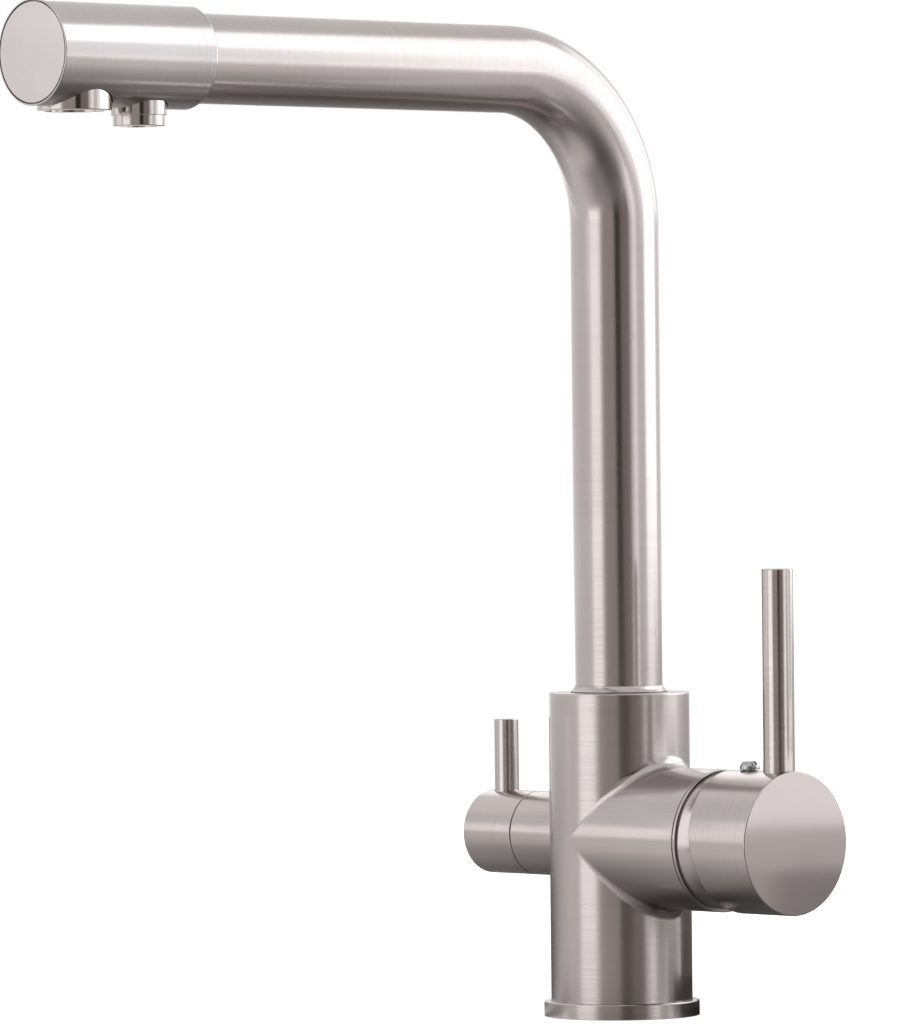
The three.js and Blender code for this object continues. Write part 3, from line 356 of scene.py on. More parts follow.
def round_rim(bm, edges, width):
    bmesh.ops.bevel(
        bm,
        geom=edges,
        offset=width,
        offset_type="OFFSET",
        affect="EDGES",
        segments=RIM_STEPS,
        profile=0.5,
        material=-1,
    )


def turned(outline, rims=(), where=Matrix.Identity(4), sides=SIDES):
    """Turns an outline about Z. Each rim is (radius, height, width of its rounding)."""
    bm = bmesh.new()
    points = [bm.verts.new((radius, 0, height)) for radius, height in outline]
    line = [bm.edges.new(pair) for pair in zip(points, points[1:])]
    bmesh.ops.spin(
        bm,
        geom=points + line,
        axis=(0, 0, 1),
        cent=(0, 0, 0),
        angle=2 * math.pi,
        steps=sides,
        use_merge=True,
    )
    clean(bm)
    for radius, height, width in rims:
        found = [
            edge
            for edge in bm.edges
            if all(
                abs(vert.co.z - height) < NEAR and abs(vert.co.xy.length - radius) < NEAR
                for vert in edge.verts
            )
        ]
        round_rim(bm, found, width)
    bmesh.ops.transform(bm, matrix=where, verts=bm.verts)
    return bm


def rod(radius, start, end, where=Matrix.Identity(4), sides=SIDES):
    """A plain round bar, for cutting."""
    return turned([(0, start), (radius, start), (radius, end), (0, end)], (), where, sides)


def throwaway(bm):
    mesh = bpy.data.meshes.new("throwaway")
    bm.to_mesh(mesh)
    bm.free()
    thing = bpy.data.objects.new("throwaway", mesh)
    bpy.context.scene.collection.objects.link(thing)
    return thing


def carved(bm, *steps):
    """Applies (operation, tool) pairs to the shape, in their order."""
    shape = throwaway(bm)
    tools = [(operation, throwaway(tool)) for operation, tool in steps]
    for operation, tool in tools:
        modifier = shape.modifiers.new("cut", "BOOLEAN")
        modifier.operation = operation
        modifier.solver = "EXACT"
        modifier.object = tool
    result = bmesh.new()
    result.from_object(shape, bpy.context.evaluated_depsgraph_get())
    for thing in [shape] + [tool for _, tool in tools]:
        mesh = thing.data
        bpy.data.objects.remove(thing)
        bpy.data.meshes.remove(mesh)
    return result


CUT = "DIFFERENCE"
JOIN = "UNION"
SHARP = math.radians(32)


def piece(name, bm, material, body, slot, *replaced):
    """Finishes a shape: metres, smooth shading with crisp corners, its body and its finish."""
    bmesh.ops.scale(bm, vec=(MM, MM, MM), verts=bm.verts)
    mesh = bpy.data.meshes.new(name)
    bm.to_mesh(mesh)
    bm.free()
    mesh.shade_smooth()
    mesh.set_sharp_from_angle(angle=SHARP)
    mesh.materials.append(material)
    thing = bpy.data.objects.new(name, mesh)
    bpy.context.scene.collection.objects.link(thing)
    even = thing.modifiers.new("flat_faces_first", "WEIGHTED_NORMAL")
    even.keep_sharp = True
    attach(thing, body)
    if replaced:
        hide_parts(*replaced)
    sides = [[corner[axis] / MM for corner in thing.bound_box] for axis in range(3)]
    size = [round(max(side) - min(side), 1) for side in sides]
    print(name, "faces", len(mesh.polygons), "size in mm", size)
    return thing


# %% [markdown]
# ## The body: column, mixer branch and filter branch
#
# The real body is one hot pressed brass piece. Its branches flow into the column through a
# radius, which a ball rolling in the corner would leave. A bevel on the Boolean's seam fails
# here, because the column and the mixer branch are equally wide and the corner fades away to
# nothing at the front and back. So flat grids are bent onto the form: each grid line runs along
# the branch, round the rolling ball and then up or down the column.

# %% Body: sizes
COLUMN_R = 22.5
COLUMN_TOP = 103.0
FOOT_TOP = 3.3
FOOT_R = 21.5
FOOT_BOTTOM = 0.5
AXIS_Z = 57.0
MIXER_MOUTH = 46.6
MIXER_BALL = 3.6
FILTER_R = 13.5
FILTER_MOUTH = 37.3
FILTER_BALL = 0.8
HALF_ROUND = 72
BRANCH_ROWS = 14
BALL_ROWS = 10
COLUMN_ROWS = 26
TOP_COLUMNS = 40
FILTER_ROWS = 8
FILTER_BALL_ROWS = 4
PLATE_ROWS = 18


def mix(a, b, share):
    return a + (b - a) * share


def ball_point(centre, to_branch, to_column, radius, share):
    """A point on the rolling ball, between its touches on the branch and on the column."""
    return centre + (to_branch.lerp(to_column, share)).normalized() * radius


# %% Body: the mixer's half, one grid above the branch's axis and one below
def mixer_side(side, end):
    reach = COLUMN_R + MIXER_BALL

    def place(u, v):
        angle = math.pi * u
        sine, cosine = math.sin(angle), math.cos(angle)
        row = v * (BRANCH_ROWS + BALL_ROWS + COLUMN_ROWS)
        if row <= BRANCH_ROWS:
            x = mix(MIXER_MOUTH, reach * sine, row / BRANCH_ROWS)
            return Vector((x, -COLUMN_R * cosine, AXIS_Z + side * COLUMN_R * sine))
        if row <= BRANCH_ROWS + BALL_ROWS:
            centre = Vector((reach * sine, -reach * cosine, AXIS_Z + side * reach * sine))
            to_branch = Vector((0, cosine, -side * sine))
            to_column = Vector((-sine, cosine, 0))
            share = (row - BRANCH_ROWS) / BALL_ROWS
            return ball_point(centre, to_branch, to_column, MIXER_BALL, share)
        share = (row - BRANCH_ROWS - BALL_ROWS) / COLUMN_ROWS
        start = AXIS_Z + side * reach * sine
        return Vector((COLUMN_R * sine, -COLUMN_R * cosine, mix(start, end, share)))

    return place


# %% Body: the filter's half, from the small branch out to a rectangle that wraps the column
def rectangle_point(index):
    """Corner of the wrapped rectangle: (angle round the column, height from the branch's axis)."""
    above = COLUMN_TOP - AXIS_Z
    below = AXIS_Z - FOOT_TOP
    quarter = math.pi / 2
    runs = [
        (COLUMN_ROWS, (quarter, 0), (quarter, above)),
        (TOP_COLUMNS, (quarter, above), (-quarter, above)),
        (COLUMN_ROWS, (-quarter, above), (-quarter, 0)),
        (COLUMN_ROWS, (-quarter, 0), (-quarter, -below)),
        (TOP_COLUMNS, (-quarter, -below), (quarter, -below)),
        (COLUMN_ROWS, (quarter, -below), (quarter, 0)),
    ]
    for count, start, end in runs:
        if index <= count:
            return tuple(mix(a, b, index / count) for a, b in zip(start, end))
        index -= count
    return runs[0][1]


RECTANGLE_POINTS = 4 * COLUMN_ROWS + 2 * TOP_COLUMNS


def filter_side(u, v):
    turn, height = rectangle_point(round(u * RECTANGLE_POINTS))
    angle = math.atan2(height, COLUMN_R * turn)
    sine, cosine = math.sin(angle), math.cos(angle)
    reach = FILTER_R + FILTER_BALL
    ball_y = -reach * cosine
    ball_x = -math.sqrt((COLUMN_R + FILTER_BALL) ** 2 - ball_y**2)
    row = v * (FILTER_ROWS + FILTER_BALL_ROWS + PLATE_ROWS)
    if row <= FILTER_ROWS:
        x = mix(-FILTER_MOUTH, ball_x, row / FILTER_ROWS)
        return Vector((x, -FILTER_R * cosine, AXIS_Z + FILTER_R * sine))
    if row <= FILTER_ROWS + FILTER_BALL_ROWS:
        centre = Vector((ball_x, ball_y, AXIS_Z + reach * sine))
        to_branch = Vector((0, cosine, -sine))
        to_column = Vector((-ball_x, -ball_y, 0)).normalized()
        share = (row - FILTER_ROWS) / FILTER_BALL_ROWS
        return ball_point(centre, to_branch, to_column, FILTER_BALL, share)
    share = (row - FILTER_ROWS - FILTER_BALL_ROWS) / PLATE_ROWS
    touch = math.asin(-ball_y / (COLUMN_R + FILTER_BALL))
    around = mix(touch, turn, share)
    z = AXIS_Z + mix(reach * sine, height, share)
    return Vector((-COLUMN_R * math.cos(around), -COLUMN_R * math.sin(around), z))


# %% Body: bend the grids and close the rims
def bend_grid(bm, columns, rows, place):
    flat = bmesh.ops.create_grid(bm, x_segments=columns, y_segments=rows, size=0.5)["verts"]
    for vert in flat:
        vert.co = place(vert.co.x + 0.5, vert.co.y + 0.5)


def rim_at(bm, axis, place):
    return [
        edge
        for edge in bm.edges
        if edge.is_boundary and all(abs(vert.co[axis] - place) < NEAR for vert in edge.verts)
    ]


body_shape = bmesh.new()
mixer_rows = BRANCH_ROWS + BALL_ROWS + COLUMN_ROWS
bend_grid(body_shape, HALF_ROUND, mixer_rows, mixer_side(1, COLUMN_TOP))
bend_grid(body_shape, HALF_ROUND, mixer_rows, mixer_side(-1, FOOT_TOP))
filter_rows = FILTER_ROWS + FILTER_BALL_ROWS + PLATE_ROWS
bend_grid(body_shape, RECTANGLE_POINTS, filter_rows, filter_side)
bmesh.ops.remove_doubles(body_shape, verts=body_shape.verts, dist=NEAR)
bmesh.ops.dissolve_degenerate(body_shape, edges=body_shape.edges, dist=NEAR)

foot_rim = rim_at(body_shape, 2, FOOT_TOP)
for shrink, drop in ((FOOT_R / COLUMN_R, 0), (1, FOOT_BOTTOM - FOOT_TOP)):
    new = bmesh.ops.extrude_edge_only(body_shape, edges=foot_rim)["geom"]
    foot_rim = [g for g in new if isinstance(g, bmesh.types.BMEdge)]
    lowered = [g for g in new if isinstance(g, bmesh.types.BMVert)]
    bmesh.ops.scale(body_shape, vec=(shrink, shrink, 1), verts=lowered)
    bmesh.ops.translate(body_shape, vec=(0, 0, drop), verts=lowered)
bmesh.ops.edgeloop_fill(body_shape, edges=foot_rim)
rims = [
    (rim_at(body_shape, 2, COLUMN_TOP), 0.6),
    (rim_at(body_shape, 0, MIXER_MOUTH), 0.25),
    (rim_at(body_shape, 0, -FILTER_MOUTH), 0.4),
]
for rim, _ in rims:
    bmesh.ops.edgeloop_fill(body_shape, edges=rim)
bmesh.ops.recalc_face_normals(body_shape, faces=body_shape.faces)
for rim, width in rims:
    round_rim(body_shape, rim, width)
open_edges = sum(1 for edge in body_shape.edges if not edge.is_manifold)
print("body grid faces", len(body_shape.faces), "open edges", open_edges)

# %% [markdown]
# Underneath, the body is hollow: a recess takes the hoses and the stud. The threads of the ports
# are cut as rings one pitch apart, which from outside looks the same as a helix.

# %% Body: bores and threads
RECESS_R = 19.0
RECESS_TOP = 34.0
PORT_DEPTH = 9.0
SOCKET_FLOOR = 78.0
DEEP = 3.0
CATCH_Z = 83.3
# a metric thread is about this deep, as a share of its pitch
THREAD_DEPTH = 0.54


def threaded_bore(radius, start, end, pitch):
    """A cutter for a tapped hole about Z, with a cone where the tapping drill ended."""
    outline = [(0, start - DEEP), (radius + 0.3, start - DEEP), (radius + 0.3, start)]
    crest = THREAD_DEPTH * pitch
    height = start
    while height + pitch <= end:
        outline += [(radius - crest, height + pitch / 2), (radius, height + pitch)]
        height += pitch
    outline += [(radius - crest, end), (0, end + 0.5 * radius)]
    return turned(outline, sides=96)


def moved(bm, x, y, z=0.0):
    bmesh.ops.translate(bm, vec=(x, y, z), verts=bm.verts)
    return bm


on_axis = at(0, 0, AXIS_Z)
socket = turned(
    [(0, SOCKET_FLOOR), (12.3, SOCKET_FLOOR), (12.3, 101.2), (15.3, 101.2), (15.3, 106), (0, 106)]
)
mixer_bore = turned(
    [(0, 12.5), (17.8, 12.5), (17.8, 35.7), (19.3, 35.7), (19.3, 50), (0, 50)],
    where=on_axis @ ALONG_X,
)
body_shape = carved(
    body_shape,
    (CUT, rod(RECESS_R, -DEEP, RECESS_TOP)),
    (JOIN, moved(turned([(0, 2), (5.5, 2), (5.5, 36), (0, 36)], [(5.5, 2, 0.4)]), -6, 12.5)),
    (CUT, moved(threaded_bore(3.4, 2, 22, 1.25), -6, 12.5)),
    (CUT, moved(threaded_bore(5, RECESS_TOP, RECESS_TOP + PORT_DEPTH, 1), 7, 7.5)),
    (CUT, moved(threaded_bore(5, RECESS_TOP, RECESS_TOP + PORT_DEPTH, 1), 7, -7.5)),
    (CUT, moved(threaded_bore(5, RECESS_TOP, RECESS_TOP + PORT_DEPTH, 1), -10.5, 0)),
    (CUT, socket),
    (CUT, mixer_bore),
    (CUT, rod(10.0, 16.5, 42, on_axis @ ALONG_MINUS_X)),
    (CUT, rod(2.8, -26, -10, at(0, 0, CATCH_Z) @ ALONG_MINUS_Y, 48)),
)
piece("body_pressing", body_shape, nickel_upright, "tap_base", "brushed_nickel", "tap_body")

# %% [markdown]
# ## Base ring
#
# A turned trim ring hides the edge of the worktop hole. Its top edge is rounded by less than a
# millimetre, which gives the bright line round its top.

# %% Base ring
ring_outline = [
    (21.8, 0), (22.5, 0), (22.5, 1.2), (24.3, 1.2), (24.3, 0), (24.75, 0), (24.75, 5),
    (22.62, 5), (22.62, 3.0), (21.8, 3.0), (21.8, 0),
]
base_ring = turned(ring_outline, [(24.75, 5, 0.45), (24.75, 0, 0.12), (22.62, 5, 0.12)])
piece("foot_trim_ring", base_ring, nickel_upright, "tap_base", "brushed_nickel", "base_ring")

# %% [markdown]
# ## Spout foot and bent tube
#
# The foot turns in the column's socket and carries the tube. Only its collar shows, a low flare
# under the tube. The tube could be a curve with a bevel, but a circle that is extruded, spun
# through a quarter turn and extruded again gives clean rings of faces at the bend. The belt
# followed the tube round the bend, so each point also keeps its place on the straight tube in
# an attribute, and the hair lines are drawn there.

# %% Spout foot
foot_outline = [
    (8.5, 80), (12, 80), (12, 81.8), (10.2, 81.8), (10.2, 84.8), (12, 84.8), (12, 88), (10.2, 88),
    (10.2, 90.4), (12, 90.4), (12, 94), (10.2, 94), (10.2, 96.4), (12, 96.4), (12, 103.3),
    (15.1, 103.3), (15.3, 103.06), (15.6, 103.2), (14.9, 103.8), (14.4, 104.5), (14.15, 105.05),
    (12.2, 105.05), (12.2, 113.8), (8.5, 113.8), (8.5, 80),
]
spout_foot = turned(foot_outline, [(15.6, 103.2, 0.1), (14.9, 103.8, 0.3), (14.4, 104.5, 0.3)])
piece("spout_foot_collar", spout_foot, nickel_upright, "spout", "brushed_nickel", "spout_foot")

# %% Bent tube
TUBE_R = 14.0
TUBE_WALL = 1.5
TUBE_BOTTOM = 105.1
BEND_R = 48.6
SPOUT_Z = 300.0
TUBE_END = 182.2
BEND_STEPS = 48


def bent_tube():
    bm = bmesh.new()
    ring = bmesh.ops.create_circle(bm, segments=SIDES, radius=TUBE_R, cap_ends=False)["verts"]
    bmesh.ops.translate(bm, vec=(0, 0, TUBE_BOTTOM), verts=ring)
    edges = list(bm.edges)
    for step in ("straight up", "bend", "straight out"):
        if step == "bend":
            new = bmesh.ops.spin(
                bm,
                geom=edges,
                axis=(1, 0, 0),
                cent=(0, -BEND_R, SPOUT_Z - BEND_R),
                angle=math.pi / 2,
                steps=BEND_STEPS,
            )["geom_last"]
        else:
            new = bmesh.ops.extrude_edge_only(bm, edges=edges)["geom"]
            verts = [g for g in new if isinstance(g, bmesh.types.BMVert)]
            rise = SPOUT_Z - BEND_R - TUBE_BOTTOM
            way = (0, 0, rise) if step == "straight up" else (0, BEND_R - TUBE_END, 0)
            bmesh.ops.translate(bm, vec=way, verts=verts)
        edges = [g for g in new if isinstance(g, bmesh.types.BMEdge)]
    clean(bm)
    return bm


def straightened_place(co):
    """Where a point of the tube would be, had the tube never been bent."""
    bend_start = SPOUT_Z - BEND_R
    if co.z < bend_start:
        return co
    if co.y < -BEND_R:
        return Vector((co.x, co.z - SPOUT_Z, bend_start + BEND_R * math.pi / 2 - BEND_R - co.y))
    across, up = co.y + BEND_R, co.z - bend_start
    along = bend_start + BEND_R * math.atan2(up, across)
    return Vector((co.x, math.hypot(across, up) - BEND_R, along))


tube_shape = bent_tube()
bmesh.ops.solidify(tube_shape, geom=tube_shape.faces, thickness=TUBE_WALL)
bmesh.ops.recalc_face_normals(tube_shape, faces=tube_shape.faces)
layer = tube_shape.verts.layers.float_vector.new("straightened")
for vert in tube_shape.verts:
    vert[layer] = straightened_place(vert.co) * MM
piece("spout_bent_tube", tube_shape, nickel_tube, "spout", "brushed_nickel", "spout_tube")

# %% [markdown]
# ## Outlet head
#
# A short thicker sleeve over the end of the tube, closed by a disc that sits in a shallow
# recess, so that a thin dark line runs round the disc. Both outlets enter from below.

# %% Outlet head and its disc
HEAD_R = 16.0
HEAD_START = 178.0
HEAD_END = 238.0
MAIN_Y = -221.9
FILTER_Y = -196.8
MAIN_R = 11.25
MAIN_BOTTOM = 282.8
COLLAR_R = 8.5
at_head = at(0, 0, SPOUT_Z) @ ALONG_MINUS_Y

sleeve_outline = [
    (14.15, HEAD_START), (HEAD_R, HEAD_START), (HEAD_R, HEAD_END), (15.5, HEAD_END),
    (15.5, 235.3), (11.5, 235.3), (11.5, 182.5), (14.15, 182.5), (14.15, HEAD_START),
]
sleeve_rims = [(HEAD_R, HEAD_START, 1.4), (HEAD_R, HEAD_END, 0.25), (15.5, HEAD_END, 0.08)]
head_shape = carved(
    turned(sleeve_outline, sleeve_rims, at_head),
    (CUT, rod(MAIN_R + 0.3, -25, -8.0, at(0, MAIN_Y, SPOUT_Z))),
    (CUT, rod(COLLAR_R + 0.3, -25, -12.3, at(0, FILTER_Y, SPOUT_Z))),
    (CUT, rod(6.0, -25, 0, at(0, FILTER_Y, SPOUT_Z))),
)
piece("outlet_head_sleeve", head_shape, nickel_forward, "spout", "brushed_nickel", "outlet_head")

cap_outline = [(0, 234), (11.2, 234), (11.2, 235.6), (15.2, 235.6), (15.2, HEAD_END), (0, HEAD_END)]
cap_shape = turned(cap_outline, [(15.2, HEAD_END, 0.3)], at_head)
piece("head_end_disc", cap_shape, nickel_forward, "spout", "brushed_nickel", "head_cap")

# %% [markdown]
# ## Outlets
#
# The broad outlet is a screwed ring that holds a plastic honeycomb. The slim one is a nozzle
# with a wider collar above. Both are plated and polished bright, so they mirror everything.

# %% Outlets
lip = MAIN_R - 2
wall = MAIN_R - 1.4
main_outline = [
    (lip, 0), (MAIN_R, 0), (MAIN_R, 7.2), (wall, 7.2), (wall, 1), (lip, 1), (lip, 0),
]
main_ring = turned(
    main_outline,
    [(MAIN_R, 0, 0.4), (lip, 0, 0.2), (MAIN_R, 7.2, 0.2)],
    at(0, MAIN_Y, MAIN_BOTTOM),
)
piece("main_outlet_ring", main_ring, finishes["chrome"], "spout", "chrome", "main_aerator_housing")
NOZZLE_R = 7.9
NOZZLE_BOTTOM = 278.7
nozzle_outline = [
    (5.55, 0), (NOZZLE_R, 0), (NOZZLE_R, 3.25), (COLLAR_R, 3.25), (COLLAR_R, 7.75), (5.7, 7.75),
    (5.7, 14.35), (3, 14.35), (3, 6.75), (6.15, 6.75), (6.15, 1), (5.55, 1), (5.55, 0),
]
nozzle_shape = turned(
    nozzle_outline,
    [(NOZZLE_R, 0, 0.35), (5.55, 0, 0.15), (COLLAR_R, 3.25, 0.2), (COLLAR_R, 7.75, 0.2)],
    at(0, FILTER_Y, NOZZLE_BOTTOM),
)
piece(
    "filtered_outlet_nozzle",
    nozzle_shape,
    finishes["chrome"],
    "spout",
    "chrome",
    "filter_nozzle_housing",
)

# %% [markdown]
# ## Bonnet and mixer hub
#
# The lever tilts about a point inside the branch. A dome about that point stays still, and the
# hub slides over it like an eyelid. The hub's rear edge is cut at a slant, so that it clears the
# trim ring when the lever is lifted.

# %% Bonnet
PIVOT_X = 43.0
DOME_R = 22.0
DOME_WALL = 1.6
DOME_END = 57.2
DOME_STEPS = 14
RING_END = 48.0


def dome_arc(radius, start, end):
    """Outline points on the dome, whose middle is on the pivot."""
    first = math.acos((start - PIVOT_X) / radius)
    last = math.acos((end - PIVOT_X) / radius)
    angles = [mix(first, last, i / DOME_STEPS) for i in range(DOME_STEPS + 1)]
    return [(radius * math.sin(a), PIVOT_X + radius * math.cos(a)) for a in angles]


bonnet_outline = (
    [(17.2, 41.1), (19, 41.1), (19, 46.9), (COLUMN_R, 46.9), (COLUMN_R, RING_END)]
    + dome_arc(DOME_R, RING_END, DOME_END)
    + dome_arc(DOME_R - DOME_WALL, DOME_END, RING_END + 1.1)
    + [(17.2, 46.9), (17.2, 41.1)]
)
bonnet = turned(
    bonnet_outline, [(COLUMN_R, RING_END, 0.25), (COLUMN_R, 46.9, 0.2)], on_axis @ ALONG_X
)
piece("bonnet_dome", bonnet, nickel_across, "tap_base", "brushed_nickel", "mixer_bonnet")

# %% Mixer hub
HUB_END = 79.0
HUB_REAR = 54.4
HUB_SLANT = math.radians(7)
CAVITY_R = 22.6
PIN_X = 72.0
SCREW_X = 59.0


def hub_block():
    bm = turned(
        [(0, 46), (COLUMN_R, 46), (COLUMN_R, HUB_END), (0, HUB_END)],
        [(COLUMN_R, HUB_END, 0.5)],
        on_axis @ ALONG_X,
    )
    bmesh.ops.bisect_plane(
        bm,
        geom=bm.verts[:] + bm.edges[:] + bm.faces[:],
        plane_co=(HUB_REAR, 0, AXIS_Z),
        plane_no=(math.cos(HUB_SLANT), 0, math.sin(HUB_SLANT)),
        clear_inner=True,
    )
    rim = [edge for edge in bm.edges if edge.is_boundary]
    bmesh.ops.edgeloop_fill(bm, edges=rim)
    round_rim(bm, rim, 0.5)
    bmesh.ops.recalc_face_normals(bm, faces=bm.faces)
    return bm


def ball(radius):
    bm = bmesh.new()
    bmesh.ops.create_uvsphere(bm, u_segments=128, v_segments=96, radius=radius)
    return bm


def square_bar(width, start, end):
    bm = bmesh.new()
    bmesh.ops.create_cube(bm, size=1)
    bmesh.ops.scale(bm, vec=(end - start, width, width), verts=bm.verts)
    return moved(bm, (start + end) / 2, 0, AXIS_Z)


hub_shape = carved(
    hub_block(),
    (CUT, moved(ball(CAVITY_R), PIVOT_X, 0, AXIS_Z)),
    (JOIN, rod(7, 51, 67, on_axis @ ALONG_X, 64)),
    (CUT, square_bar(7.6, 48, 62.3)),
    (CUT, rod(1.6, 3.5, 25, at(SCREW_X, 0, AXIS_Z), 32)),
    (CUT, rod(5.06, 13.2, 25, at(PIN_X, 0, AXIS_Z))),
)
piece("mixer_hub_block", hub_shape, nickel_across, "mixer_handle", "brushed_nickel", "mixer_hub")

# %% [markdown]
# ## Pins, screws and the filter hub
#
# Both levers are plain turned pins with a nearly flat end. The mixer hub is fixed to the stem
# by a small slotted screw on top, beside the pin.

# %% Pins
FILTER_PIN_X = -53.0


def lever_pin(radius, bottom, top, x):
    crown = top - 0.12
    outline = [(0, bottom), (radius, bottom), (radius, crown), (0, top)]
    return turned(outline, [(radius, bottom, 0.3), (radius, crown, 0.35)], at(x, 0, AXIS_Z), 96)


mixer_pin = lever_pin(5, 13.5, 85.6, PIN_X)
piece("mixer_lever_pin", mixer_pin, nickel_pin, "mixer_handle", "polished_nickel", "mixer_pin")
filter_pin = lever_pin(4, 6.8, 36.5, FILTER_PIN_X)
piece("filter_lever_pin", filter_pin, nickel_pin, "filter_handle", "polished_nickel", "filter_pin")

# %% Screws
slot_cutter = square_bar(1, -4, 4)
bmesh.ops.translate(slot_cutter, vec=(0, 0, -AXIS_Z), verts=slot_cutter.verts)
bmesh.ops.scale(slot_cutter, vec=(1, 0.8, 2.6), verts=slot_cutter.verts)
bmesh.ops.transform(slot_cutter, matrix=at(SCREW_X, 0, AXIS_Z + 25.4), verts=slot_cutter.verts)
screw_shape = carved(
    turned(
        [(0, 3.8), (1.5, 3.8), (1.5, 22.65), (3.2, 22.65), (3.2, 23.8), (2.2, 25.2), (0, 25.4)],
        [(3.2, 22.65, 0.15), (3.2, 23.8, 0.5), (2.2, 25.2, 0.4)],
        at(SCREW_X, 0, AXIS_Z),
        64,
    ),
    (CUT, slot_cutter),
)
piece("hub_slotted_screw", screw_shape, finishes["steel"], "mixer_handle", "steel", "hub_screw")

catch_place = at(0, 0, CATCH_Z) @ ALONG_MINUS_Y
catch_shape = carved(
    turned(
        [(0, -21.5), (2.5, -21.5), (2.5, -13.5), (1.2, -13.5), (1.2, -10.5), (0, -10.5)],
        [(2.5, -21.5, 0.3)],
        catch_place,
        48,
    ),
    (CUT, rod(1.35, -24, -19, catch_place, 6)),
)
piece(
    "spout_catch_screw",
    catch_shape,
    finishes["steel"],
    "tap_base",
    "steel",
    "spout_retaining_screw",
)

GRUB_X = -43.5
grub_place = at(GRUB_X, 0, AXIS_Z)
grub_shape = carved(
    turned([(0, -12.9), (2, -12.9), (2, -3.9), (0, -3.9)], [(2, -12.9, 0.25)], grub_place, 48),
    (CUT, rod(1.1, -15, -10.7, grub_place, 6)),
)
piece(
    "filter_hub_grub_screw",
    grub_shape,
    finishes["steel"],
    "filter_handle",
    "steel",
    "filter_grub_screw",
)

# %% Filter hub
filter_axis = on_axis @ ALONG_MINUS_X
filter_hub_outline = [
    (0, 47.5), (3.9, 47.5), (3.9, 38.8), (5.7, 38.8), (5.7, 37.6), (FILTER_R, 37.6),
    (FILTER_R, 59.5), (0, 59.5),
]
filter_hub = carved(
    turned(filter_hub_outline, [(FILTER_R, 37.6, 0.4), (FILTER_R, 59.5, 0.5)], filter_axis),
    (CUT, rod(4.06, 6.5, 20, at(FILTER_PIN_X, 0, AXIS_Z))),
    (CUT, rod(2.15, -16, -3, grub_place, 48)),
)
piece(
    "filter_hub_block", filter_hub, nickel_across, "filter_handle", "brushed_nickel", "filter_hub"
)

# %% [markdown]
# ## Studio
#
# Metal shows what stands round it. A photographer lights a tap with large soft boxes, and hangs
# white, grey and black card where the metal should turn bright or dark. Here each card is a sheet
# that glows at a set brightness and is seen by reflections only, so it paints a reflection on the
# metal and lights nothing. Floor and backdrop are white. Each box and card below has the two
# azimuths between which it hangs, its bottom and top, how far away it stands and how bright it
# is. The low cards are met by rays that leave the column a few degrees downwards, the high ones by
# those of the spout.

# %% World and floor
def background_rays(tree):
    """1 for the rays that should see a white backdrop: straight, mirrored and refracted ones."""
    path = add_node(tree, "ShaderNodeLightPath").outputs
    first = add_node(
        tree,
        "ShaderNodeMath",
        {0: path["Is Camera Ray"], 1: path["Is Glossy Ray"]},
        operation="MAXIMUM",
    )
    return add_node(
        tree,
        "ShaderNodeMath",
        {0: first.outputs[0], 1: path["Is Transmission Ray"]},
        operation="MAXIMUM",
    ).outputs[0]


AMBIENT = 0.45
world = bpy.data.worlds.new("studio")
bpy.context.scene.world = world
world.use_nodes = True
world.node_tree.nodes.clear()
tree = world.node_tree
strength = add_node(
    tree, "ShaderNodeMapRange", {"Value": background_rays(tree), "To Min": AMBIENT, "To Max": 1.0}
)
sky = add_node(
    tree,
    "ShaderNodeBackground",
    {"Color": (1, 1, 1, 1), "Strength": strength.outputs["Result"]},
)
add_node(tree, "ShaderNodeOutputWorld", {"Surface": sky.outputs[0]})

FLOOR_GLOW = 0.8
FLOOR_SIDE = 12000
floor_material, tree = new_material("floor_white_board")
glow = add_node(
    tree, "ShaderNodeMath", {0: background_rays(tree), 1: FLOOR_GLOW}, operation="MULTIPLY"
)
board = add_node(
    tree,
    "ShaderNodeBsdfPrincipled",
    {
        "Base Color": linear("#eceae8"),
        "Roughness": 0.7,
        "Emission Color": (1, 1, 1, 1),
        "Emission Strength": glow.outputs[0],
    },
)
add_node(tree, "ShaderNodeOutputMaterial", {"Surface": board.outputs[0]})


def flat_sheet(name, width, height, where, material):
    bm = bmesh.new()
    bmesh.ops.create_grid(bm, x_segments=1, y_segments=1, size=0.5)
    bmesh.ops.scale(bm, vec=(width * MM, height * MM, 1), verts=bm.verts)
    mesh = bpy.data.meshes.new(name)
    bm.to_mesh(mesh)
    bm.free()
    mesh.materials.append(material)
    sheet = bpy.data.objects.new(name, mesh)
    sheet.matrix_world = where
    bpy.context.scene.collection.objects.link(sheet)
    return sheet


flat_sheet("floor", FLOOR_SIDE, FLOOR_SIDE, Matrix.Identity(4), floor_material)

# %% Soft boxes and cards
def direction(azimuth):
    """Level direction. Azimuth 0 is towards the camera and grows to the picture's right."""
    turn = math.radians(azimuth)
    return toward_camera * math.cos(turn) + picture_right * math.sin(turn)


def upright_place(azimuth, distance, height):
    away = direction(azimuth)
    spot = away * distance + Vector((0, 0, height))
    return Matrix.Translation(spot * MM) @ away.to_track_quat("Z", "Y").to_matrix().to_4x4()


def span(start, end, distance):
    """Width of a flat sheet that fills the directions between two azimuths."""
    return 2 * distance * math.tan(math.radians(end - start) / 2)


def soft_box(name, start, end, bottom, top, distance, brightness, colour=(1, 1, 1)):
    data = bpy.data.lights.new(name, "AREA")
    data.shape = "RECTANGLE"
    data.size = span(start, end, distance) * MM
    data.size_y = (top - bottom) * MM
    data.color = colour
    data.energy = brightness * math.pi * data.size * data.size_y
    box = bpy.data.objects.new(name, data)
    box.matrix_world = upright_place((start + end) / 2, distance, (top + bottom) / 2)
    bpy.context.scene.collection.objects.link(box)


def seen_by_gloss_only(sheet):
    sheet.visible_camera = False
    sheet.visible_diffuse = False
    sheet.visible_transmission = False
    sheet.visible_shadow = False
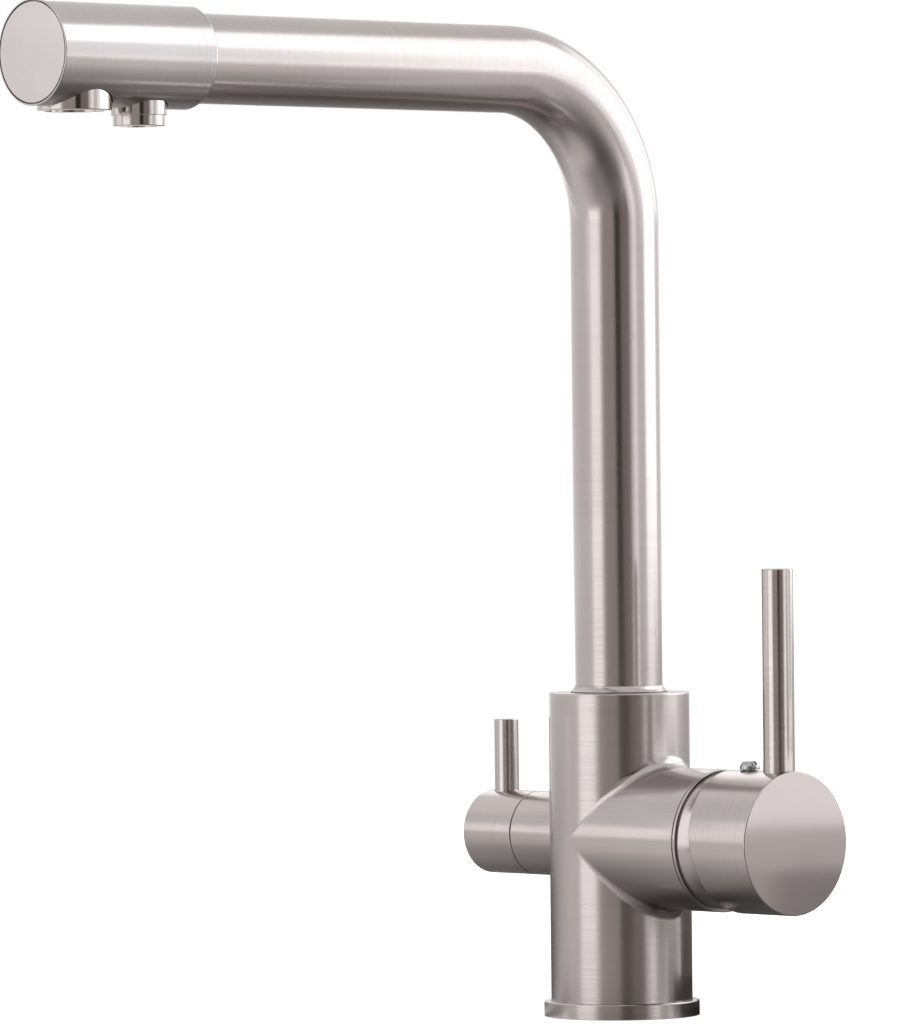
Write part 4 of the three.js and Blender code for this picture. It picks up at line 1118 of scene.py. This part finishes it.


# a card glows with its own shade and strength: a painted reflection for the metal, not a lamp
def card(name, start, end, bottom, top, distance, shade, strength=1.0):
    material, tree = new_material(name)
    glow = add_node(tree, "ShaderNodeEmission", {"Color": linear(shade), "Strength": strength})
    add_node(tree, "ShaderNodeOutputMaterial", {"Surface": glow.outputs[0]})
    place = upright_place((start + end) / 2, distance, (top + bottom) / 2)
    sheet = flat_sheet(name, span(start, end, distance), top - bottom, place, material)
    seen_by_gloss_only(sheet)


COOL = (0.92, 0.985, 1.0)
# large lights on both sides, and a narrow one for the line on the right
soft_box("soft_box_left", -69.5, -41.5, 0, 1900, 1500, 0.8)
soft_box("soft_box_right", 82, 127, 100, 1880, 1500, 1.65, COOL)
soft_box("soft_box_right_wing", 69, 82, 850, 1880, 1500, 1.65, COOL)
soft_box("soft_box_right_wing_dim", 69, 82, 0, 850, 1500, 0.55, COOL)
soft_box("soft_box_back_right", 128, 152, 320, 1250, 1500, 1.1, COOL)
soft_box("strip_right", 46, 56, 0, 1700, 1500, 0.6)
# the dark stripe down the column and the tube, softer near the foot
card("card_grey_left", -36, 1, -200, 1000, 1350, "#bdb6b1")
card("card_grey_right", 0, 38, -200, 1000, 1340, "#97908b")
card("card_black", -2, 13, -200, 1000, 1300, "#3c3733")
card("card_grey_left_low", -28, 1, -200, 95, 1330, "#b9b0ac")
card("card_black_low", -1, 18, -200, 95, 1290, "#736b67")
# pale and bright cards on the left and behind, for the hubs, the bend and the head
card("card_grey_far_left_low", -150, -72.5, -200, 65, 1400, "#ecebea")
card("card_white_far_left", -99, -89, 85, 400, 1400, "#fffdfb", 1.8)
card("card_white_left_high", -160, -108, 850, 2200, 1400, "#fffdfb", 1.18)
card("card_white_behind", -186, -160, 560, 1120, 1400, "#fffdfb", 1.8)
card("card_white_by_spout", -98, -73, 250, 430, 780, "#fffdfd", 1.52)
# low cards for the right side of the column
card("card_grey_low_right", 58, 75, -200, 100, 1330, "#d6d3d0")
card("card_white_low_right", 85, 104, -200, 100, 1330, "#fffefd", 1.6)
card("card_grey_low_back", 110, 160, -200, 90, 1330, "#cfccc9")
# small glowing sheets close to the tap: painted reflections for the mixer hub and its flat face,
# and painted shade low by the base ring and the foot
card("card_grey_by_hub", 77, 100, 5, 76, 313, "#c8c4c2")
card("card_bright_by_face", 41, 77, 60, 82, 121, "#ffffff", 1.55)
card("card_pale_by_face", 41, 77, 46, 60, 121, "#edebe9")
card("card_grey_by_face", 41, 56, 24, 46, 121, "#d2cecb")
card("card_dark_by_face", 56, 77, 24, 46, 121, "#ada9a8")
# painted shade: dark sheets low by the ring and the foot, where the table lies in the tap's shadow
card("sheet_painted_shade_by_ring", 82, 165, 0, 9, 62, "#4a4542")
card("sheet_painted_shade_by_foot", 106, 170, 0, 40, 150, "#6a6461")

# %% [markdown]
# Two narrow flags stand beside the spout, some 15 cm from the column. They show it plain white,
# where it would mirror the lights that are meant for the hubs and for the head alone.

# %% Flags
card("flag_left_of_spout", -112, -78, 97, 335, 150, "#ffffff")
card("flag_right_of_spout", 65, 78.7, 100, 257, 161, "#ffffff")

# %% [markdown]
# The underside of each level part mirrors the table. On the real shoot it was dark close to the
# tap, in the tap's own shadow, and brighter further out, where the soft boxes light it. The table
# is also glossy: seen at a flat angle from the tap's foot it mirrors the cards and the soft boxes.
# A board lies on the floor whose glow paints that shadow and that light, with gloss on top, and
# only reflections see it, so that the floor itself stays plain.

# %% Table board
TABLE_R = 1200.0
BOARD_LIFT_MM = 0.2
painted_table_board, tree = new_material("board_with_painted_table_shade")
spot = add_node(tree, "ShaderNodeTexCoord").outputs["Object"]
distance = add_node(tree, "ShaderNodeVectorMath", {0: spot}, operation="LENGTH").outputs["Value"]
outward = add_node(tree, "ShaderNodeVectorMath", {0: spot}, operation="NORMALIZE").outputs[0]
# how far a spot points, or lies, in some directions
frontness, rightness, under_box, before_camera, right_reach = [
    add_node(
        tree, "ShaderNodeVectorMath", {0: place, 1: way}, operation="DOT_PRODUCT"
    ).outputs["Value"]
    for place, way in (
        (outward, toward_camera),
        (outward, picture_right),
        (outward, direction(-45)),
        (outward, direction(-12)),
        (spot, picture_right),
    )
]
steepness = add_node(tree, "ShaderNodeLayerWeight", {"Blend": 0.5}).outputs["Facing"]
# each one: what it follows, between which two values, and the result at both
(
    painted_tap_shadow,
    far,
    to_the_right,
    behind,
    painted_box_light,
    close,
    right_half,
    gloss_share,
    leftmost,
    rightmost,
    unlit,
    away,
    reach,
    side,
) = [
    add_node(
        tree,
        "ShaderNodeMapRange",
        {"Value": value, "From Min": start, "From Max": end, "To Min": low, "To Max": high},
    ).outputs["Result"]
    for value, start, end, low, high in (
        # painted shadow of the tap: darkest close to it
        (distance, 0.03, 0.22, 0.16, 0.8),
        (distance, 0.3, 1.0, 0.0, 0.15),
        (rightness, -0.3, 0.5, 1.0, 0.5),
        (frontness, -0.95, -0.6, 0.35, 1.0),
        # painted light under the left soft box
        (under_box, 0.6, 1.0, 1.0, 1.9),
        (distance, 0.07, 0.13, 0.8, 0.0),
        (rightness, 0.0, 0.6, 0.0, 1.0),
        (steepness, 0.77, 0.93, 0.03, 0.95),
        (rightness, -0.99, -0.93, 0.2, 1.0),
        (rightness, 0.86, 1.0, 1.0, 0.5),
        (before_camera, 0.1, 0.9, 0.0, 0.72),
        (distance, 0.1, 0.3, 0.0, 1.0),
        (right_reach, 0.1, 0.62, 0.0, 0.5),
        (rightness, 0.5, 0.8, 0.0, 1.0),
    )
]
sides = add_node(tree, "ShaderNodeMath", {0: to_the_right, 1: behind}, operation="MULTIPLY")
sides = add_node(tree, "ShaderNodeMath", {0: sides.outputs[0], 1: painted_box_light}, operation="MULTIPLY")
dark = add_node(tree, "ShaderNodeMath", {0: unlit, 1: away}, operation="MULTIPLY")
bright = add_node(tree, "ShaderNodeMath", {0: 1.0, 1: dark.outputs[0]}, operation="SUBTRACT")
sides = add_node(
    tree, "ShaderNodeMath", {0: sides.outputs[0], 1: bright.outputs[0]}, operation="MULTIPLY"
)
# the board's glow is painted light and shade: darker close to the tap for its shadow, brighter
# under the left soft box for its light, darker to the right, behind the tap and towards the camera
# side, brighter far out
shade = add_node(
    tree, "ShaderNodeMath", {0: painted_tap_shadow, 1: sides.outputs[0], 2: far}, operation="MULTIPLY_ADD"
)
shade = add_node(
    tree, "ShaderNodeMath", {0: reach, 1: side, 2: shade.outputs[0]}, operation="MULTIPLY_ADD"
)
glow = add_node(
    tree, "ShaderNodeEmission", {"Color": linear("#fffcfa"), "Strength": shade.outputs[0]}
)
# painted shadow: the board's gloss is dimmed close to the tap on its right side
shadow = add_node(tree, "ShaderNodeMath", {0: close, 1: right_half}, operation="MULTIPLY")
open_side = add_node(
    tree, "ShaderNodeMath", {0: frontness, 1: shadow.outputs[0]}, operation="SUBTRACT"
)
mirrored = add_node(
    tree,
    "ShaderNodeMapRange",
    {"Value": open_side.outputs[0], "From Min": -0.85, "From Max": -0.25, "To Min": 0.15},
)
mirrored = add_node(
    tree, "ShaderNodeMath", {0: mirrored.outputs["Result"], 1: rightmost}, operation="MULTIPLY"
)
gloss = add_node(
    tree, "ShaderNodeBsdfAnisotropic", {"Color": mirrored.outputs[0], "Roughness": 0.06}
)
share = add_node(tree, "ShaderNodeMath", {0: gloss_share, 1: leftmost}, operation="MULTIPLY")
board = add_node(
    tree, "ShaderNodeMixShader", {"Fac": share.outputs[0], 1: glow.outputs[0], 2: gloss.outputs[0]}
)
add_node(tree, "ShaderNodeOutputMaterial", {"Surface": board.outputs[0]})
lifted = at(0, 0, BOARD_LIFT_MM * MM)
table = flat_sheet("board_with_painted_table_shade", 2 * TABLE_R, 2 * TABLE_R, lifted, painted_table_board)
seen_by_gloss_only(table)

bpy.context.scene.view_settings.view_transform = "Standard"

# %% [markdown]
# ## The end
#
# The dressed tap must keep the size of the solids. Here the scene is only brought up to date.

# %% Finish
bpy.context.view_layer.update()
